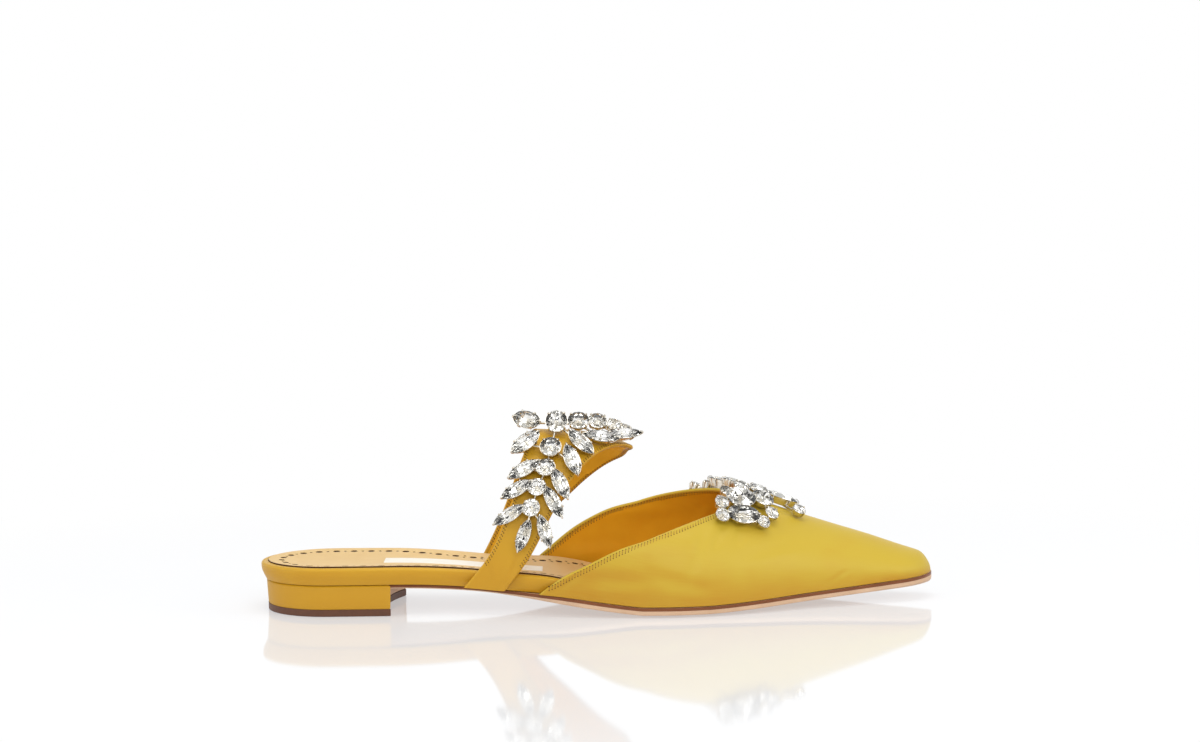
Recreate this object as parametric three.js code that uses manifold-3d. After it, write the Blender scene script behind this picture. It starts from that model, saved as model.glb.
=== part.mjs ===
// A right-foot mule: flat heel, pointed toe, an open vamp and one strap over the instep.
// Millimetres. Lengths run from the back of the footbed to the toe, then the whole shoe is
// moved so that its origin lies on the floor under the middle of the heel.
// +X points to the toe, +Y to the inner side of the foot, +Z up.
import * as THREE from 'three';
import { mergeVertices } from 'three/addons/utils/BufferGeometryUtils.js';
import Module from 'manifold-3d';

const wasm = await Module();
wasm.setup();

// Driving dimensions
const LENGTH = 261;             // back of the footbed to the tip of the toe
const BALL_WIDTH = 72;          // inside the upper across the ball
const HEEL_WIDTH = 56;          // footbed across the heel seat
const INSTEP_HEIGHT = 60;       // inside of the strap above the footbed's lower edge
const SEAT_HEIGHT = 11.8;       // floor to the top of the heel block
const TOP_LIFT_HEIGHT = 2.7;
const HEEL_LENGTH = 51;         // back of the footbed to the outer corner of the heel breast
const BREAST_SLANT = 3;         // how much further forward the inner corner lies
const BREAST_SAG = 5.5;         // depth of the hollow in the heel breast
const HEEL_INSET = 2.3;         // heel block behind the rim of the footbed
const HEEL_TAPER = 0.5;
const TOE_SPRING = 6;
const BALL_BACK = 147;          // the sole lies flat on the floor between these two
const BALL_FRONT = 172;
const WAIST_FRONT = 85;         // from here on the outsole grows thicker and wider
const TREAD_BACK = 125;         // and from here on it has its full size
const SOLE_THICKNESS = 3.8;     // outsole under the ball
const WAIST_THICKNESS = 2.3;    // outsole skived thin between heel and ball
const SOLE_CROWN = 1;           // lift of the outsole's edge above its middle
const SOLE_EDGE = 0.3;          // outsole beyond the upper
const WAIST_INSET = 1.2;        // outsole inside the footbed's rim at the waist
const BREAST_COVER = 1.3;       // outsole leather turned down over the heel breast
const LIFT_JOINT = 0.02;        // glue line between heel and top lift
const FOOTBED_THICKNESS = 6.6;
const FOREPART_THICKNESS = 3;   // footbed where the upper covers it
const RIM_TUCK = 1.8;           // footbed's lower edge inside its rim
const RIM_ROUND = 1.1;          // softened upper edge of the footbed
const TOE_DRAW = 1.5;           // footbed drawn in under the toe's low roof
const DRAW_LENGTH = 45;         // length of the toe over which it draws in
const SOCK_THICKNESS = 0.9;
const SOCK_INSET = 2.6;
const SOCK_DRAW = 2.4;          // sock drawn in under the toe
const LABEL_LENGTH = 61;
const LABEL_WIDTH = 11.5;
const LABEL_THICKNESS = 0.4;
const LABEL_START = 48;
const LABEL_BACK_SHIFT = 1.5;   // middle of the label towards the outer side, at its back
const LABEL_FRONT_SHIFT = 4;    // and at its front
const UPPER_WALL = 1.6;
const VAMP_LENGTH = 77;         // toe tip to the middle of the throat
const TIP_SHARE = 0.8;          // share of the vamp's ribs that end before the toe tip
const OUTER_WING = 108;         // back corners of the vamp at the sole
const INNER_WING = 100;
const STRAP_WALL = 1.6;
const STRAP_WIDTH = 15.3;       // measured along the shoe
const HEEL_ROUND = 28;          // plan radius of the heel end
const TOE_ROUND = 13;           // plan radius of the toe tip
const NOSE_ROUND = 4;           // length over which the toe's top turns down
const LEAF_LENGTH = 14.5;       // longest crystals
const LEAF_WIDTH = 5;
const BEAD = 6;                 // round crystals
const CRYSTAL_HEIGHT = 2.9;
const SETTING_PLATE = 1.1;      // metal under each crystal
const SETTING_GAP = 0.6;        // metal above the satin, so that its bars clear the curve
const BAR_WIDTH = 1.2;
const TIP_LIFT = 3;             // how far the last settings stand off the strap's point
const FIT = 0.3;                // clearance between curved pieces

const LAST_LENGTH = LENGTH - UPPER_WALL;
const HEEL_MIDDLE = HEEL_LENGTH / 2;

function ofWidth(width, rows) {
  return rows.map((row) => ({ ...row, width }));
}

// The last, in cross-sections from heel to toe. along is a share of the last's length, outer
// and inner are half widths and ridge the sideways place of the top line, as shares of the
// heel or ball width, crest is a share of the instep height, peak sharpens the roof and
// swell bulges the side wall.
const LAST = [
  ...ofWidth(HEEL_WIDTH, [
    { along: 0, outer: 0.504, inner: 0.500, ridge: 0, crest: 0.765, peak: 1, swell: 0.06 },
    { along: 0.108, outer: 0.505, inner: 0.500, ridge: 0, crest: 0.80, peak: 1, swell: 0.06 },
    { along: 0.193, outer: 0.502, inner: 0.482, ridge: 0, crest: 0.84, peak: 1, swell: 0.06 },
  ]),
  ...ofWidth(BALL_WIDTH, [
    { along: 0.258, outer: 0.374, inner: 0.335, ridge: 0, crest: 0.89, peak: 1, swell: 0.06 },
    { along: 0.324, outer: 0.361, inner: 0.306, ridge: 0, crest: 0.93, peak: 1, swell: 0.07 },
    { along: 0.374, outer: 0.381, inner: 0.318, ridge: 0.007, crest: 0.955, peak: 1.02, swell: 0.07 },
    { along: 0.424, outer: 0.415, inner: 0.374, ridge: 0.021, crest: 0.966, peak: 1.05, swell: 0.06 },
    { along: 0.482, outer: 0.461, inner: 0.436, ridge: 0.042, crest: 0.975, peak: 1.08, swell: 0.05 },
    { along: 0.520, outer: 0.483, inner: 0.469, ridge: 0.056, crest: 0.962, peak: 1.10, swell: 0.045 },
    { along: 0.559, outer: 0.494, inner: 0.494, ridge: 0.062, crest: 0.905, peak: 1.10, swell: 0.04 },
    { along: 0.617, outer: 0.497, inner: 0.510, ridge: 0.062, crest: 0.782, peak: 1.10, swell: 0.03 },
    { along: 0.675, outer: 0.454, inner: 0.497, ridge: 0.058, crest: 0.670, peak: 1.10, swell: 0.03 },
    { along: 0.732, outer: 0.378, inner: 0.453, ridge: 0.056, crest: 0.563, peak: 1.08, swell: 0.03 },
    { along: 0.798, outer: 0.267, inner: 0.389, ridge: 0.069, crest: 0.445, peak: 1.05, swell: 0.03 },
    { along: 0.856, outer: 0.189, inner: 0.333, ridge: 0.088, crest: 0.345, peak: 1.02, swell: 0.03 },
    { along: 0.910, outer: 0.125, inner: 0.283, ridge: 0.111, crest: 0.252, peak: 1, swell: 0.03 },
    { along: 0.956, outer: 0.069, inner: 0.246, ridge: 0.133, crest: 0.165, peak: 1, swell: 0.03 },
    { along: 0.987, outer: 0.036, inner: 0.225, ridge: 0.144, crest: 0.108, peak: 1, swell: 0.03 },
    { along: 1, outer: 0.014, inner: 0.215, ridge: 0.153, crest: 0.072, peak: 1, swell: 0.03 },
  ]),
];

// The vamp's top edge. reach runs from the wing's back corner (0) to the throat (1), and the
// other columns are the turn round the last on each side: 1 at the sole, 0 on the ridge.
const TOPLINE = [
  { reach: 0, outer: 1, inner: 1 },
  { reach: 0.12, outer: 0.918, inner: 0.905 },
  { reach: 0.25, outer: 0.850, inner: 0.800 },
  { reach: 0.40, outer: 0.765, inner: 0.700 },
  { reach: 0.55, outer: 0.683, inner: 0.605 },
  { reach: 0.70, outer: 0.577, inner: 0.475 },
  { reach: 0.82, outer: 0.475, inner: 0.345 },
  { reach: 0.92, outer: 0.365, inner: 0.200 },
  { reach: 0.97, outer: 0.240, inner: 0.105 },
  { reach: 1, outer: 0, inner: 0 },
];

// The strap from the outer edge of the sole (-1) over the ridge (0) to the inner edge (1).
// middle is a share of the last's length and broad a share of the strap's width.
const STRAP = [
  { turn: -1, middle: 0.3365, broad: 1.02 },
  { turn: -0.85, middle: 0.374, broad: 1.00 },
  { turn: -0.68, middle: 0.4015, broad: 1.05 },
  { turn: -0.5, middle: 0.4245, broad: 1.22 },
  { turn: -0.3, middle: 0.447, broad: 1.74 },
  { turn: -0.1, middle: 0.4705, broad: 2.27 },
  { turn: 0.04, middle: 0.482, broad: 2.48 },
  { turn: 0.16, middle: 0.4785, broad: 2.47 },
  { turn: 0.32, middle: 0.468, broad: 2.38 },
  { turn: 0.6, middle: 0.4225, broad: 1.65 },
  { turn: 0.8, middle: 0.381, broad: 1.07 },
  { turn: 1, middle: 0.345, broad: 0.97 },
];

// Crystals on the strap: a stem of round ones with leaves to both sides. turn is the place
// round the last, heading the long axis in degrees from the toe direction towards the inner
// side, long and wide are shares of a leaf's or a bead's size, lift is a share of the tip's
// lift, and joins are the numbers of the crystals that a bar runs to.
const FROND = [
  { cut: 'leaf', along: 0.399, turn: -0.01, long: 0.76, wide: 1.24, heading: 163, lift: 0, joins: [2] },
  { cut: 'round', along: 0.443, turn: -0.075, long: 1.24, wide: 1.24, heading: 0, lift: 0, joins: [8, 9] },
  { cut: 'round', along: 0.474, turn: -0.013, long: 0.96, wide: 0.96, heading: 0, lift: 0, joins: [2, 4, 11] },
  { cut: 'round', along: 0.500, turn: 0.011, long: 1.0, wide: 1.0, heading: 0, lift: 0.4, joins: [5, 12] },
  { cut: 'round', along: 0.521, turn: 0.0, long: 0.56, wide: 0.56, heading: 0, lift: 0.8, joins: [6] },
  { cut: 'round', along: 0.535, turn: 0.0, long: 0.5, wide: 0.5, heading: 0, lift: 1, joins: [] },
  { cut: 'leaf', along: 0.398, turn: -0.277, long: 0.95, wide: 1.1, heading: -139, lift: 0, joins: [8] },
  { cut: 'round', along: 0.435, turn: -0.313, long: 1.2, wide: 1.2, heading: 0, lift: 0, joins: [10, 14] },
  { cut: 'leaf', along: 0.478, turn: -0.262, long: 0.98, wide: 1.0, heading: -44, lift: 0, joins: [] },
  { cut: 'leaf', along: 0.466, turn: -0.390, long: 1.02, wide: 1.0, heading: -66, lift: 0, joins: [] },
  { cut: 'leaf', along: 0.506, turn: -0.190, long: 1.0, wide: 0.9, heading: 2, lift: 0.17, joins: [] },
  { cut: 'leaf', along: 0.534, turn: -0.095, long: 1.1, wide: 0.84, heading: 28, lift: 0.67, joins: [] },
  { cut: 'leaf', along: 0.396, turn: -0.456, long: 0.95, wide: 0.96, heading: -145, lift: 0, joins: [14] },
  { cut: 'round', along: 0.428, turn: -0.442, long: 0.9, wide: 0.9, heading: 0, lift: 0, joins: [15, 17] },
  { cut: 'leaf', along: 0.450, turn: -0.523, long: 0.98, wide: 0.92, heading: -60, lift: 0, joins: [] },
  { cut: 'leaf', along: 0.386, turn: -0.559, long: 0.92, wide: 0.9, heading: -146, lift: 0, joins: [17] },
  { cut: 'round', along: 0.416, turn: -0.545, long: 0.82, wide: 0.82, heading: 0, lift: 0, joins: [18, 20] },
  { cut: 'leaf', along: 0.440, turn: -0.607, long: 1.0, wide: 0.88, heading: -56, lift: 0, joins: [] },
  { cut: 'leaf', along: 0.376, turn: -0.673, long: 0.98, wide: 0.86, heading: -146, lift: 0, joins: [20] },
  { cut: 'round', along: 0.408, turn: -0.640, long: 0.8, wide: 0.8, heading: 0, lift: 0, joins: [21, 22] },
  { cut: 'leaf', along: 0.397, turn: -0.758, long: 0.92, wide: 0.84, heading: -106, lift: 0, joins: [] },
  { cut: 'leaf', along: 0.428, turn: -0.735, long: 0.92, wide: 0.84, heading: -67, lift: 0, joins: [] },
];

// Crystals of the ornament on the throat of the vamp, in the same columns.
const BROOCH = [
  { cut: 'round', along: 0.679, turn: -0.366, long: 0.68, wide: 0.68, heading: 0, lift: 0, joins: [2, 4] },
  { cut: 'round', along: 0.679, turn: -0.465, long: 0.68, wide: 0.68, heading: 0, lift: 0, joins: [5] },
  { cut: 'round', along: 0.688, turn: -0.220, long: 0.6, wide: 0.6, heading: 0, lift: 0, joins: [4] },
  { cut: 'leaf', along: 0.707, turn: -0.270, long: 0.62, wide: 1.3, heading: 28, lift: 0, joins: [5, 10] },
  { cut: 'leaf', along: 0.709, turn: -0.425, long: 0.88, wide: 1.2, heading: 13, lift: 0, joins: [6] },
  { cut: 'round', along: 0.739, turn: -0.440, long: 0.62, wide: 0.62, heading: 0, lift: 0, joins: [7] },
  { cut: 'round', along: 0.753, turn: -0.335, long: 0.62, wide: 0.62, heading: 0, lift: 0, joins: [8] },
  { cut: 'round', along: 0.741, turn: -0.185, long: 0.95, wide: 0.95, heading: 0, lift: 0, joins: [9] },
  { cut: 'round', along: 0.737, turn: -0.015, long: 0.85, wide: 0.85, heading: 0, lift: 0, joins: [10, 11] },
  { cut: 'round', along: 0.711, turn: -0.090, long: 0.62, wide: 0.62, heading: 0, lift: 0, joins: [] },
  { cut: 'leaf', along: 0.772, turn: 0.040, long: 1.0, wide: 1.0, heading: 0, lift: 0.33, joins: [12, 13] },
  { cut: 'round', along: 0.797, turn: -0.170, long: 0.62, wide: 0.62, heading: 0, lift: 0, joins: [] },
  { cut: 'round', along: 0.797, turn: 0.250, long: 0.62, wide: 0.62, heading: 0, lift: 0, joins: [] },
  { cut: 'round', along: 0.658, turn: 0.300, long: 0.68, wide: 0.68, heading: 0, lift: 0, joins: [15] },
  { cut: 'round', along: 0.640, turn: 0.385, long: 0.68, wide: 0.68, heading: 0, lift: 0, joins: [] },
  { cut: 'leaf', along: 0.687, turn: 0.230, long: 0.88, wide: 1.2, heading: -12, lift: 0, joins: [14, 18] },
  { cut: 'leaf', along: 0.706, turn: 0.075, long: 0.62, wide: 1.2, heading: 0, lift: 0, joins: [16, 9] },
  { cut: 'round', along: 0.724, turn: 0.290, long: 0.62, wide: 0.62, heading: 0, lift: 0, joins: [19] },
  { cut: 'round', along: 0.743, turn: 0.190, long: 0.95, wide: 0.95, heading: 0, lift: 0, joins: [9] },
];

// Materials

function finish(colour, roughness, metalness = 0) {
  return new THREE.MeshStandardMaterial({ color: colour, roughness, metalness });
}

const YELLOW_SATIN = finish(0xdba51f, 0.5);
const TAN_LEATHER = finish(0xcf9a5e, 0.6);
const SOCK_LEATHER = finish(0xd8a566, 0.55);
const BROWN_RUBBER = finish(0x6b4326, 0.6);
const WHITE_RIBBON = finish(0xf2f0ea, 0.6);
const CRYSTAL = finish(0xf4f6f8, 0.05);
const PALE_METAL = finish(0xd9cdb4, 0.25, 1);

// Curves of the last

function tangent(table, key, from, i) {
  const before = table[Math.max(i - 1, 0)];
  const after = table[Math.min(i + 1, table.length - 1)];
  return (key(after) - key(before)) / (from(after) - from(before));
}

// Value of one column of a table at a place between its rows, along a smooth curve.
function smooth(table, from, key, place) {
  const last = table.length - 2;
  let i = 0;
  while (i < last && place > from(table[i + 1])) i += 1;
  const span = from(table[i + 1]) - from(table[i]);
  const t = THREE.MathUtils.clamp((place - from(table[i])) / span, 0, 1);
  const rise0 = tangent(table, key, from, i) * span;
  const rise1 = tangent(table, key, from, i + 1) * span;
  const a = (2 * t ** 3 - 3 * t ** 2 + 1) * key(table[i]);
  const b = (t ** 3 - 2 * t ** 2 + t) * rise0;
  const c = (-2 * t ** 3 + 3 * t ** 2) * key(table[i + 1]);
  const d = (t ** 3 - t ** 2) * rise1;
  return a + b + c + d;
}

function lastColumn(key, x) {
  return smooth(LAST, (row) => row.along * LAST_LENGTH, key, x);
}

// Height of the outsole's underside along its middle: arch, flat ball, toe spring.
function underside(x) {
  const arch = THREE.MathUtils.clamp((BALL_BACK - x) / (BALL_BACK - HEEL_LENGTH), 0, 1);
  const spring = THREE.MathUtils.clamp((x - BALL_FRONT) / (LENGTH - BALL_FRONT), 0, 1);
  const archRise = (SEAT_HEIGHT - WAIST_THICKNESS) * Math.sin(Math.PI / 2 * arch ** 1.15);
  return archRise + TOE_SPRING * spring ** 1.25;
}

// 0 at the waist and 1 at the ball, where the outsole has its full thickness.
function towardsBall(x) {
  return THREE.MathUtils.smoothstep(x, WAIST_FRONT, TREAD_BACK);
}

function soleTop(x) {
  return underside(x) + THREE.MathUtils.lerp(WAIST_THICKNESS, SOLE_THICKNESS, towardsBall(x));
}

function footbedTop(x) {
  const covered = THREE.MathUtils.smoothstep(x, OUTER_WING, BALL_BACK);
  const board = THREE.MathUtils.lerp(FOOTBED_THICKNESS, FOREPART_THICKNESS, covered);
  return soleTop(x) + FIT + board;
}

// Share of its full size that the last keeps in the rounded end of the given length.
function roundedEnd(x, length, end) {
  const inside = THREE.MathUtils.clamp((length - Math.abs(end - x)) / length, 0, 1);
  return Math.sqrt(1 - inside * inside);
}

// A point of the last: turn is -1 on the outer edge of the sole, 0 on the ridge, 1 inner.
function lastPoint(x, turn) {
  const ridge = lastColumn((row) => row.ridge * row.width, x);
  const outerEdge = -lastColumn((row) => row.outer * row.width, x);
  const innerEdge = lastColumn((row) => row.inner * row.width, x);
  const crest = INSTEP_HEIGHT * lastColumn((row) => row.crest, x);
  const swell = lastColumn((row) => row.swell, x);
  const rise = Math.cos(Math.PI / 2 * turn);
  const spread = Math.abs(Math.sin(Math.PI / 2 * turn)) ** lastColumn((row) => row.peak, x);
  const ends = roundedEnd(x, HEEL_ROUND, 0) * roundedEnd(x, TOE_ROUND, LAST_LENGTH);
  const bulge = 1 + 4 * swell * rise * (1 - rise);
  const half = (turn < 0 ? outerEdge : innerEdge) - ridge;
  const y = ridge + half * ends * spread * bulge;
  const z = soleTop(x) + FIT + crest * rise * roundedEnd(x, NOSE_ROUND, LAST_LENGTH);
  return new THREE.Vector3(x, y, z);
}

// The direction along the last towards the toe.
function lastAhead(x, turn) {
  const step = 0.3;
  return lastPoint(x + step, turn).sub(lastPoint(x - step, turn));
}

// The direction pointing away from the foot.
function lastNormal(x, turn) {
  const step = 0.005;
  const around = lastPoint(x, turn + step).sub(lastPoint(x, turn - step));
  return lastAhead(x, turn).cross(around).normalize();
}

// Distance run along the last's rounded outline, from heel end to toe end.
const HEEL_ARC = HEEL_ROUND * Math.PI / 2;
const STRAIGHT_RUN = LAST_LENGTH - HEEL_ROUND - TOE_ROUND;
const TOE_END = HEEL_ARC + STRAIGHT_RUN + TOE_ROUND * Math.PI / 2;

function runToX(run) {
  if (run < HEEL_ARC) return HEEL_ROUND * (1 - Math.cos(run / HEEL_ROUND));
  const past = run - HEEL_ARC - STRAIGHT_RUN;
  if (past < 0) return HEEL_ROUND + run - HEEL_ARC;
  return LAST_LENGTH - TOE_ROUND + TOE_ROUND * Math.sin(Math.min(past / TOE_ROUND, Math.PI / 2));
}

function xToRun(x) {
  return HEEL_ARC + x - HEEL_ROUND;
}

// A point of the last's outline seen from above, moved inwards by inset.
function edgePoint(run, side, inset) {
  const point = lastPoint(runToX(run), side);
  if (run <= 0) return new THREE.Vector2(point.x + inset, point.y);
  if (run >= TOE_END) return new THREE.Vector2(point.x - inset, point.y);
  const step = 0.05;
  const before = lastPoint(runToX(Math.max(run - step, 0)), side);
  const after = lastPoint(runToX(Math.min(run + step, TOE_END)), side);
  const along = new THREE.Vector2(after.x - before.x, after.y - before.y).normalize();
  return new THREE.Vector2(point.x + side * along.y * inset, point.y - side * along.x * inset);
}

// Building closed meshes

function geometryFrom(triangles) {
  const positions = [];
  for (const corners of triangles) {
    for (const corner of corners) positions.push(corner.x, corner.y, corner.z);
  }
  const geometry = new THREE.BufferGeometry();
  geometry.setAttribute('position', new THREE.Float32BufferAttribute(positions, 3));
  return mergeVertices(geometry, 1e-3);
}

function volumeOf(triangles) {
  let total = 0;
  for (const [a, b, c] of triangles) total += a.dot(new THREE.Vector3().crossVectors(b, c)) / 6;
  return total;
}

function closedSolid(triangles) {
  const whole = triangles.filter(([a, b, c]) => {
    const apart = 1e-3;
    return a.distanceTo(b) > apart && b.distanceTo(c) > apart && c.distanceTo(a) > apart;
  });
  if (volumeOf(whole) > 0) return geometryFrom(whole);
  return geometryFrom(whole.map(([a, b, c]) => [a, c, b]));
}

function addQuad(triangles, a, b, c, d) {
  triangles.push([a, b, c], [a, c, d]);
}

// The skin between two rows of points of the same count.
function addStrip(triangles, lower, upper) {
  for (let i = 0; i < lower.length - 1; i += 1) {
    addQuad(triangles, lower[i], lower[i + 1], upper[i + 1], upper[i]);
  }
}

// A curved wall between two grids of points, closed round its four borders.
function wallSolid(inside, outside) {
  const triangles = [];
  const rows = inside.length - 1;
  for (let i = 0; i < rows; i += 1) {
    addStrip(triangles, outside[i], outside[i + 1]);
    addStrip(triangles, inside[i + 1], inside[i]);
  }
  const column = (grid, j) => grid.map((row) => row.at(j));
  addStrip(triangles, inside[0], outside[0]);
  addStrip(triangles, outside[rows], inside[rows]);
  addStrip(triangles, column(outside, 0), column(inside, 0));
  addStrip(triangles, column(inside, -1), column(outside, -1));
  return closedSolid(triangles);
}

// The same grid moved outwards by a wall, along the averaged normals of the skin that it
// spans. Its rims on the sole stay level.
function thickened(grid, wall, isRim) {
  const triangles = [];
  for (let i = 0; i < grid.length - 1; i += 1) addStrip(triangles, grid[i], grid[i + 1]);
  const skin = geometryFrom(triangles);
  skin.computeVertexNormals();
  const place = (point) => [point.x, point.y, point.z].map((v) => Math.fround(v).toFixed(3)).join();
  const normals = new Map();
  for (let i = 0; i < skin.attributes.position.count; i += 1) {
    const point = new THREE.Vector3().fromBufferAttribute(skin.attributes.position, i);
    normals.set(place(point), new THREE.Vector3().fromBufferAttribute(skin.attributes.normal, i));
  }
  const onRidge = grid[Math.floor(grid.length / 2)][0];
  const outwards = Math.sign(normals.get(place(onRidge)).z);
  return grid.map((row, i) => row.map((point, j) => {
    const normal = normals.get(place(point)).clone().multiplyScalar(outwards);
    if (isRim(i, j)) normal.setZ(0).normalize();
    return point.clone().addScaledVector(normal, wall);
  }));
}

// A level piece such as a sole: layers of the outline from bottom to top, each with its own
// inset and height, closed by a grid across the first and the last.
function plateSolid(runs, across, layers) {
  const triangles = [];
  const rowsOf = layers.map(({ inset, height }) => runs.map((run) => {
    const outer = edgePoint(run, -1, inset(runToX(run)));
    const inner = edgePoint(run, 1, inset(runToX(run)));
    return across.map((share) => {
      const spot = new THREE.Vector2().lerpVectors(outer, inner, (share + 1) / 2);
      return new THREE.Vector3(spot.x, spot.y, height(spot.x, share));
    });
  }));
  const bottom = rowsOf[0];
  const top = rowsOf.at(-1);
  for (let i = 0; i < runs.length - 1; i += 1) {
    addStrip(triangles, bottom[i], bottom[i + 1]);
    addStrip(triangles, top[i + 1], top[i]);
  }
  const column = (rows, j) => rows.map((row) => row.at(j));
  for (let k = 0; k < layers.length - 1; k += 1) {
    addStrip(triangles, column(rowsOf[k], 0), column(rowsOf[k + 1], 0));
    addStrip(triangles, column(rowsOf[k + 1], -1), column(rowsOf[k], -1));
    addStrip(triangles, rowsOf[k + 1][0], rowsOf[k][0]);
    addStrip(triangles, rowsOf[k].at(-1), rowsOf[k + 1].at(-1));
  }
  return closedSolid(triangles);
}

// A solid between two outlines of the same count of points, one above the other.
function loftSolid(lower, upper) {
  const triangles = [];
  const flat = lower.map((point) => new THREE.Vector2(point.x, point.y));
  if (THREE.ShapeUtils.isClockWise(flat)) {
    return loftSolid([...lower].reverse(), [...upper].reverse());
  }
  for (const [i, j, k] of THREE.ShapeUtils.triangulateShape(flat, [])) {
    triangles.push([lower[i], lower[k], lower[j]], [upper[i], upper[j], upper[k]]);
  }
  addStrip(triangles, [...lower, lower[0]], [...upper, upper[0]]);
  return closedSolid(triangles);
}

function spread(from, to, count) {
  return Array.from({ length: count + 1 }, (_, i) => THREE.MathUtils.lerp(from, to, i / count));
}

// Cutting and joining

function toManifold(geometry) {
  return new wasm.Manifold(new wasm.Mesh({
    numProp: 3,
    vertProperties: geometry.attributes.position.array,
    triVerts: new Uint32Array(geometry.index.array),
  }));
}

function fromManifold(solid) {
  const mesh = solid.getMesh();
  const geometry = new THREE.BufferGeometry();
  geometry.setAttribute('position', new THREE.BufferAttribute(mesh.vertProperties, 3));
  geometry.setIndex(new THREE.BufferAttribute(mesh.triVerts, 1));
  return geometry;
}

// Pieces

const shoe = new THREE.Group();

function addPiece(name, geometry, material) {
  const mesh = new THREE.Mesh(geometry, material);
  mesh.name = name;
  mesh.position.x = -HEEL_MIDDLE;
  shoe.add(mesh);
}

// Heel block and top lift: the back of the footbed's outline, closed by a hollow breast.
function breastX(share) {
  const corners = HEEL_LENGTH + BREAST_SLANT * (share + 1) / 2;
  return corners - BREAST_SAG * (1 - share * share);
}

function breastCurve(inset, forward) {
  const outer = edgePoint(xToRun(HEEL_LENGTH), -1, 0).y;
  const inner = edgePoint(xToRun(HEEL_LENGTH + BREAST_SLANT), 1, 0).y;
  return spread(inner - inset, outer + inset, 12).map((y) => {
    const share = (2 * y - inner - outer) / (inner - outer);
    return new THREE.Vector2(breastX(share) + forward, y);
  });
}

function heelOutline(inset, forward, z) {
  const round = spread(xToRun(HEEL_LENGTH), 0, 14).map((run) => edgePoint(run, -1, inset));
  const back = spread(0, xToRun(HEEL_LENGTH + BREAST_SLANT), 14).map((run) => edgePoint(run, 1, inset));
  const outline = [...round.slice(1), ...back.slice(1, -1), ...breastCurve(inset, forward)];
  return outline.map((point) => new THREE.Vector3(point.x, point.y, z));
}

function heelBlock() {
  const foot = HEEL_INSET + HEEL_TAPER;
  return loftSolid(heelOutline(foot, 0, TOP_LIFT_HEIGHT), heelOutline(HEEL_INSET, 0, SEAT_HEIGHT));
}

function topLift() {
  const inset = HEEL_INSET + HEEL_TAPER;
  const forward = BREAST_COVER + FIT;
  const top = TOP_LIFT_HEIGHT - LIFT_JOINT;
  return loftSolid(heelOutline(inset, forward, 0), heelOutline(inset, forward, top));
}

addPiece('heel', heelBlock(), YELLOW_SATIN);
addPiece('top_lift', topLift(), BROWN_RUBBER);

// Outsole: a crowned plate from the heel breast to the toe, with a flap down the breast.
function soleInset(x) {
  return THREE.MathUtils.lerp(WAIST_INSET + RIM_TUCK, -(UPPER_WALL + SOLE_EDGE), towardsBall(x));
}

function crown(share) {
  const level = 0.5;
  return SOLE_CROWN * Math.max(0, (Math.abs(share) - level) / (1 - level)) ** 2;
}

function outsole() {
  const behindBreast = 10;
  const runs = [
    ...spread(xToRun(HEEL_LENGTH - behindBreast), xToRun(BALL_BACK), 12),
    ...spread(xToRun(BALL_BACK), xToRun(BALL_FRONT), 2).slice(1),
    ...spread(xToRun(BALL_FRONT), TOE_END, 16).slice(1),
  ];
  const across = [-1, -0.9, -0.75, -0.5, 0, 0.5, 0.75, 0.9, 1];
  const plate = plateSolid(runs, across, [
    { inset: soleInset, height: (x, share) => underside(x) + crown(share) },
    { inset: soleInset, height: (x) => soleTop(x) },
  ]);
  const flapInset = WAIST_INSET + RIM_TUCK;
  const past = 8;
  const edge = breastCurve(flapInset - past, FIT);
  const cut = [...edge, new THREE.Vector2(0, edge.at(-1).y), new THREE.Vector2(0, edge[0].y)];
  const atHeight = (points, z) => points.map((point) => new THREE.Vector3(point.x, point.y, z));
  const cutter = loftSolid(atHeight(cut, -past), atHeight(cut, SEAT_HEIGHT + past));
  const back = breastCurve(flapInset, FIT);
  const front = breastCurve(flapInset, FIT + BREAST_COVER).reverse();
  const flapTop = SEAT_HEIGHT - WAIST_THICKNESS / 2;
  const flap = loftSolid(
    atHeight([...back, ...front], TOP_LIFT_HEIGHT + FIT),
    atHeight([...back, ...front], flapTop),
  );
  const joined = toManifold(plate).subtract(toManifold(cutter)).add(toManifold(flap));
  return fromManifold(joined);
}

addPiece('outsole', outsole(), TAN_LEATHER);

// The inner pieces draw in towards the toe, where the upper's roof comes down on them.
function toeDraw(x) {
  return THREE.MathUtils.smoothstep(x, LAST_LENGTH - DRAW_LENGTH, LAST_LENGTH - NOSE_ROUND);
}

// Places along the outline for a piece that fills the last, closer at the toe's point.
function innerRuns() {
  const point = TOE_END - 12;
  return [
    ...spread(0, HEEL_ARC, 8),
    ...spread(HEEL_ARC, point, 24).slice(1),
    ...spread(point, TOE_END, 5).slice(1),
  ];
}

// Footbed: satin-wrapped board, thick at the heel and waist and thin under the vamp.
function footbed() {
  const inset = (x) => FIT + TOE_DRAW * toeDraw(x);
  const bend = RIM_ROUND * 0.3;
  return plateSolid(innerRuns(), [-1, -0.5, 0, 0.5, 1], [
    { inset: () => FIT + RIM_TUCK, height: (x) => soleTop(x) + FIT },
    { inset, height: (x) => footbedTop(x) - RIM_ROUND },
    { inset: (x) => inset(x) + bend, height: (x) => footbedTop(x) - bend },
    { inset: (x) => inset(x) + RIM_ROUND, height: (x) => footbedTop(x) },
  ]);
}

addPiece('footbed', footbed(), YELLOW_SATIN);

// Sock: the thin leather lining that lies on the footbed.
function sock() {
  const inset = (x) => FIT + SOCK_INSET + SOCK_DRAW * toeDraw(x);
  return plateSolid(innerRuns(), [-1, -0.5, 0, 0.5, 1], [
    { inset, height: (x) => footbedTop(x) + FIT },
    { inset, height: (x) => footbedTop(x) + FIT + SOCK_THICKNESS },
  ]);
}

addPiece('sock', sock(), SOCK_LEATHER);

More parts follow.
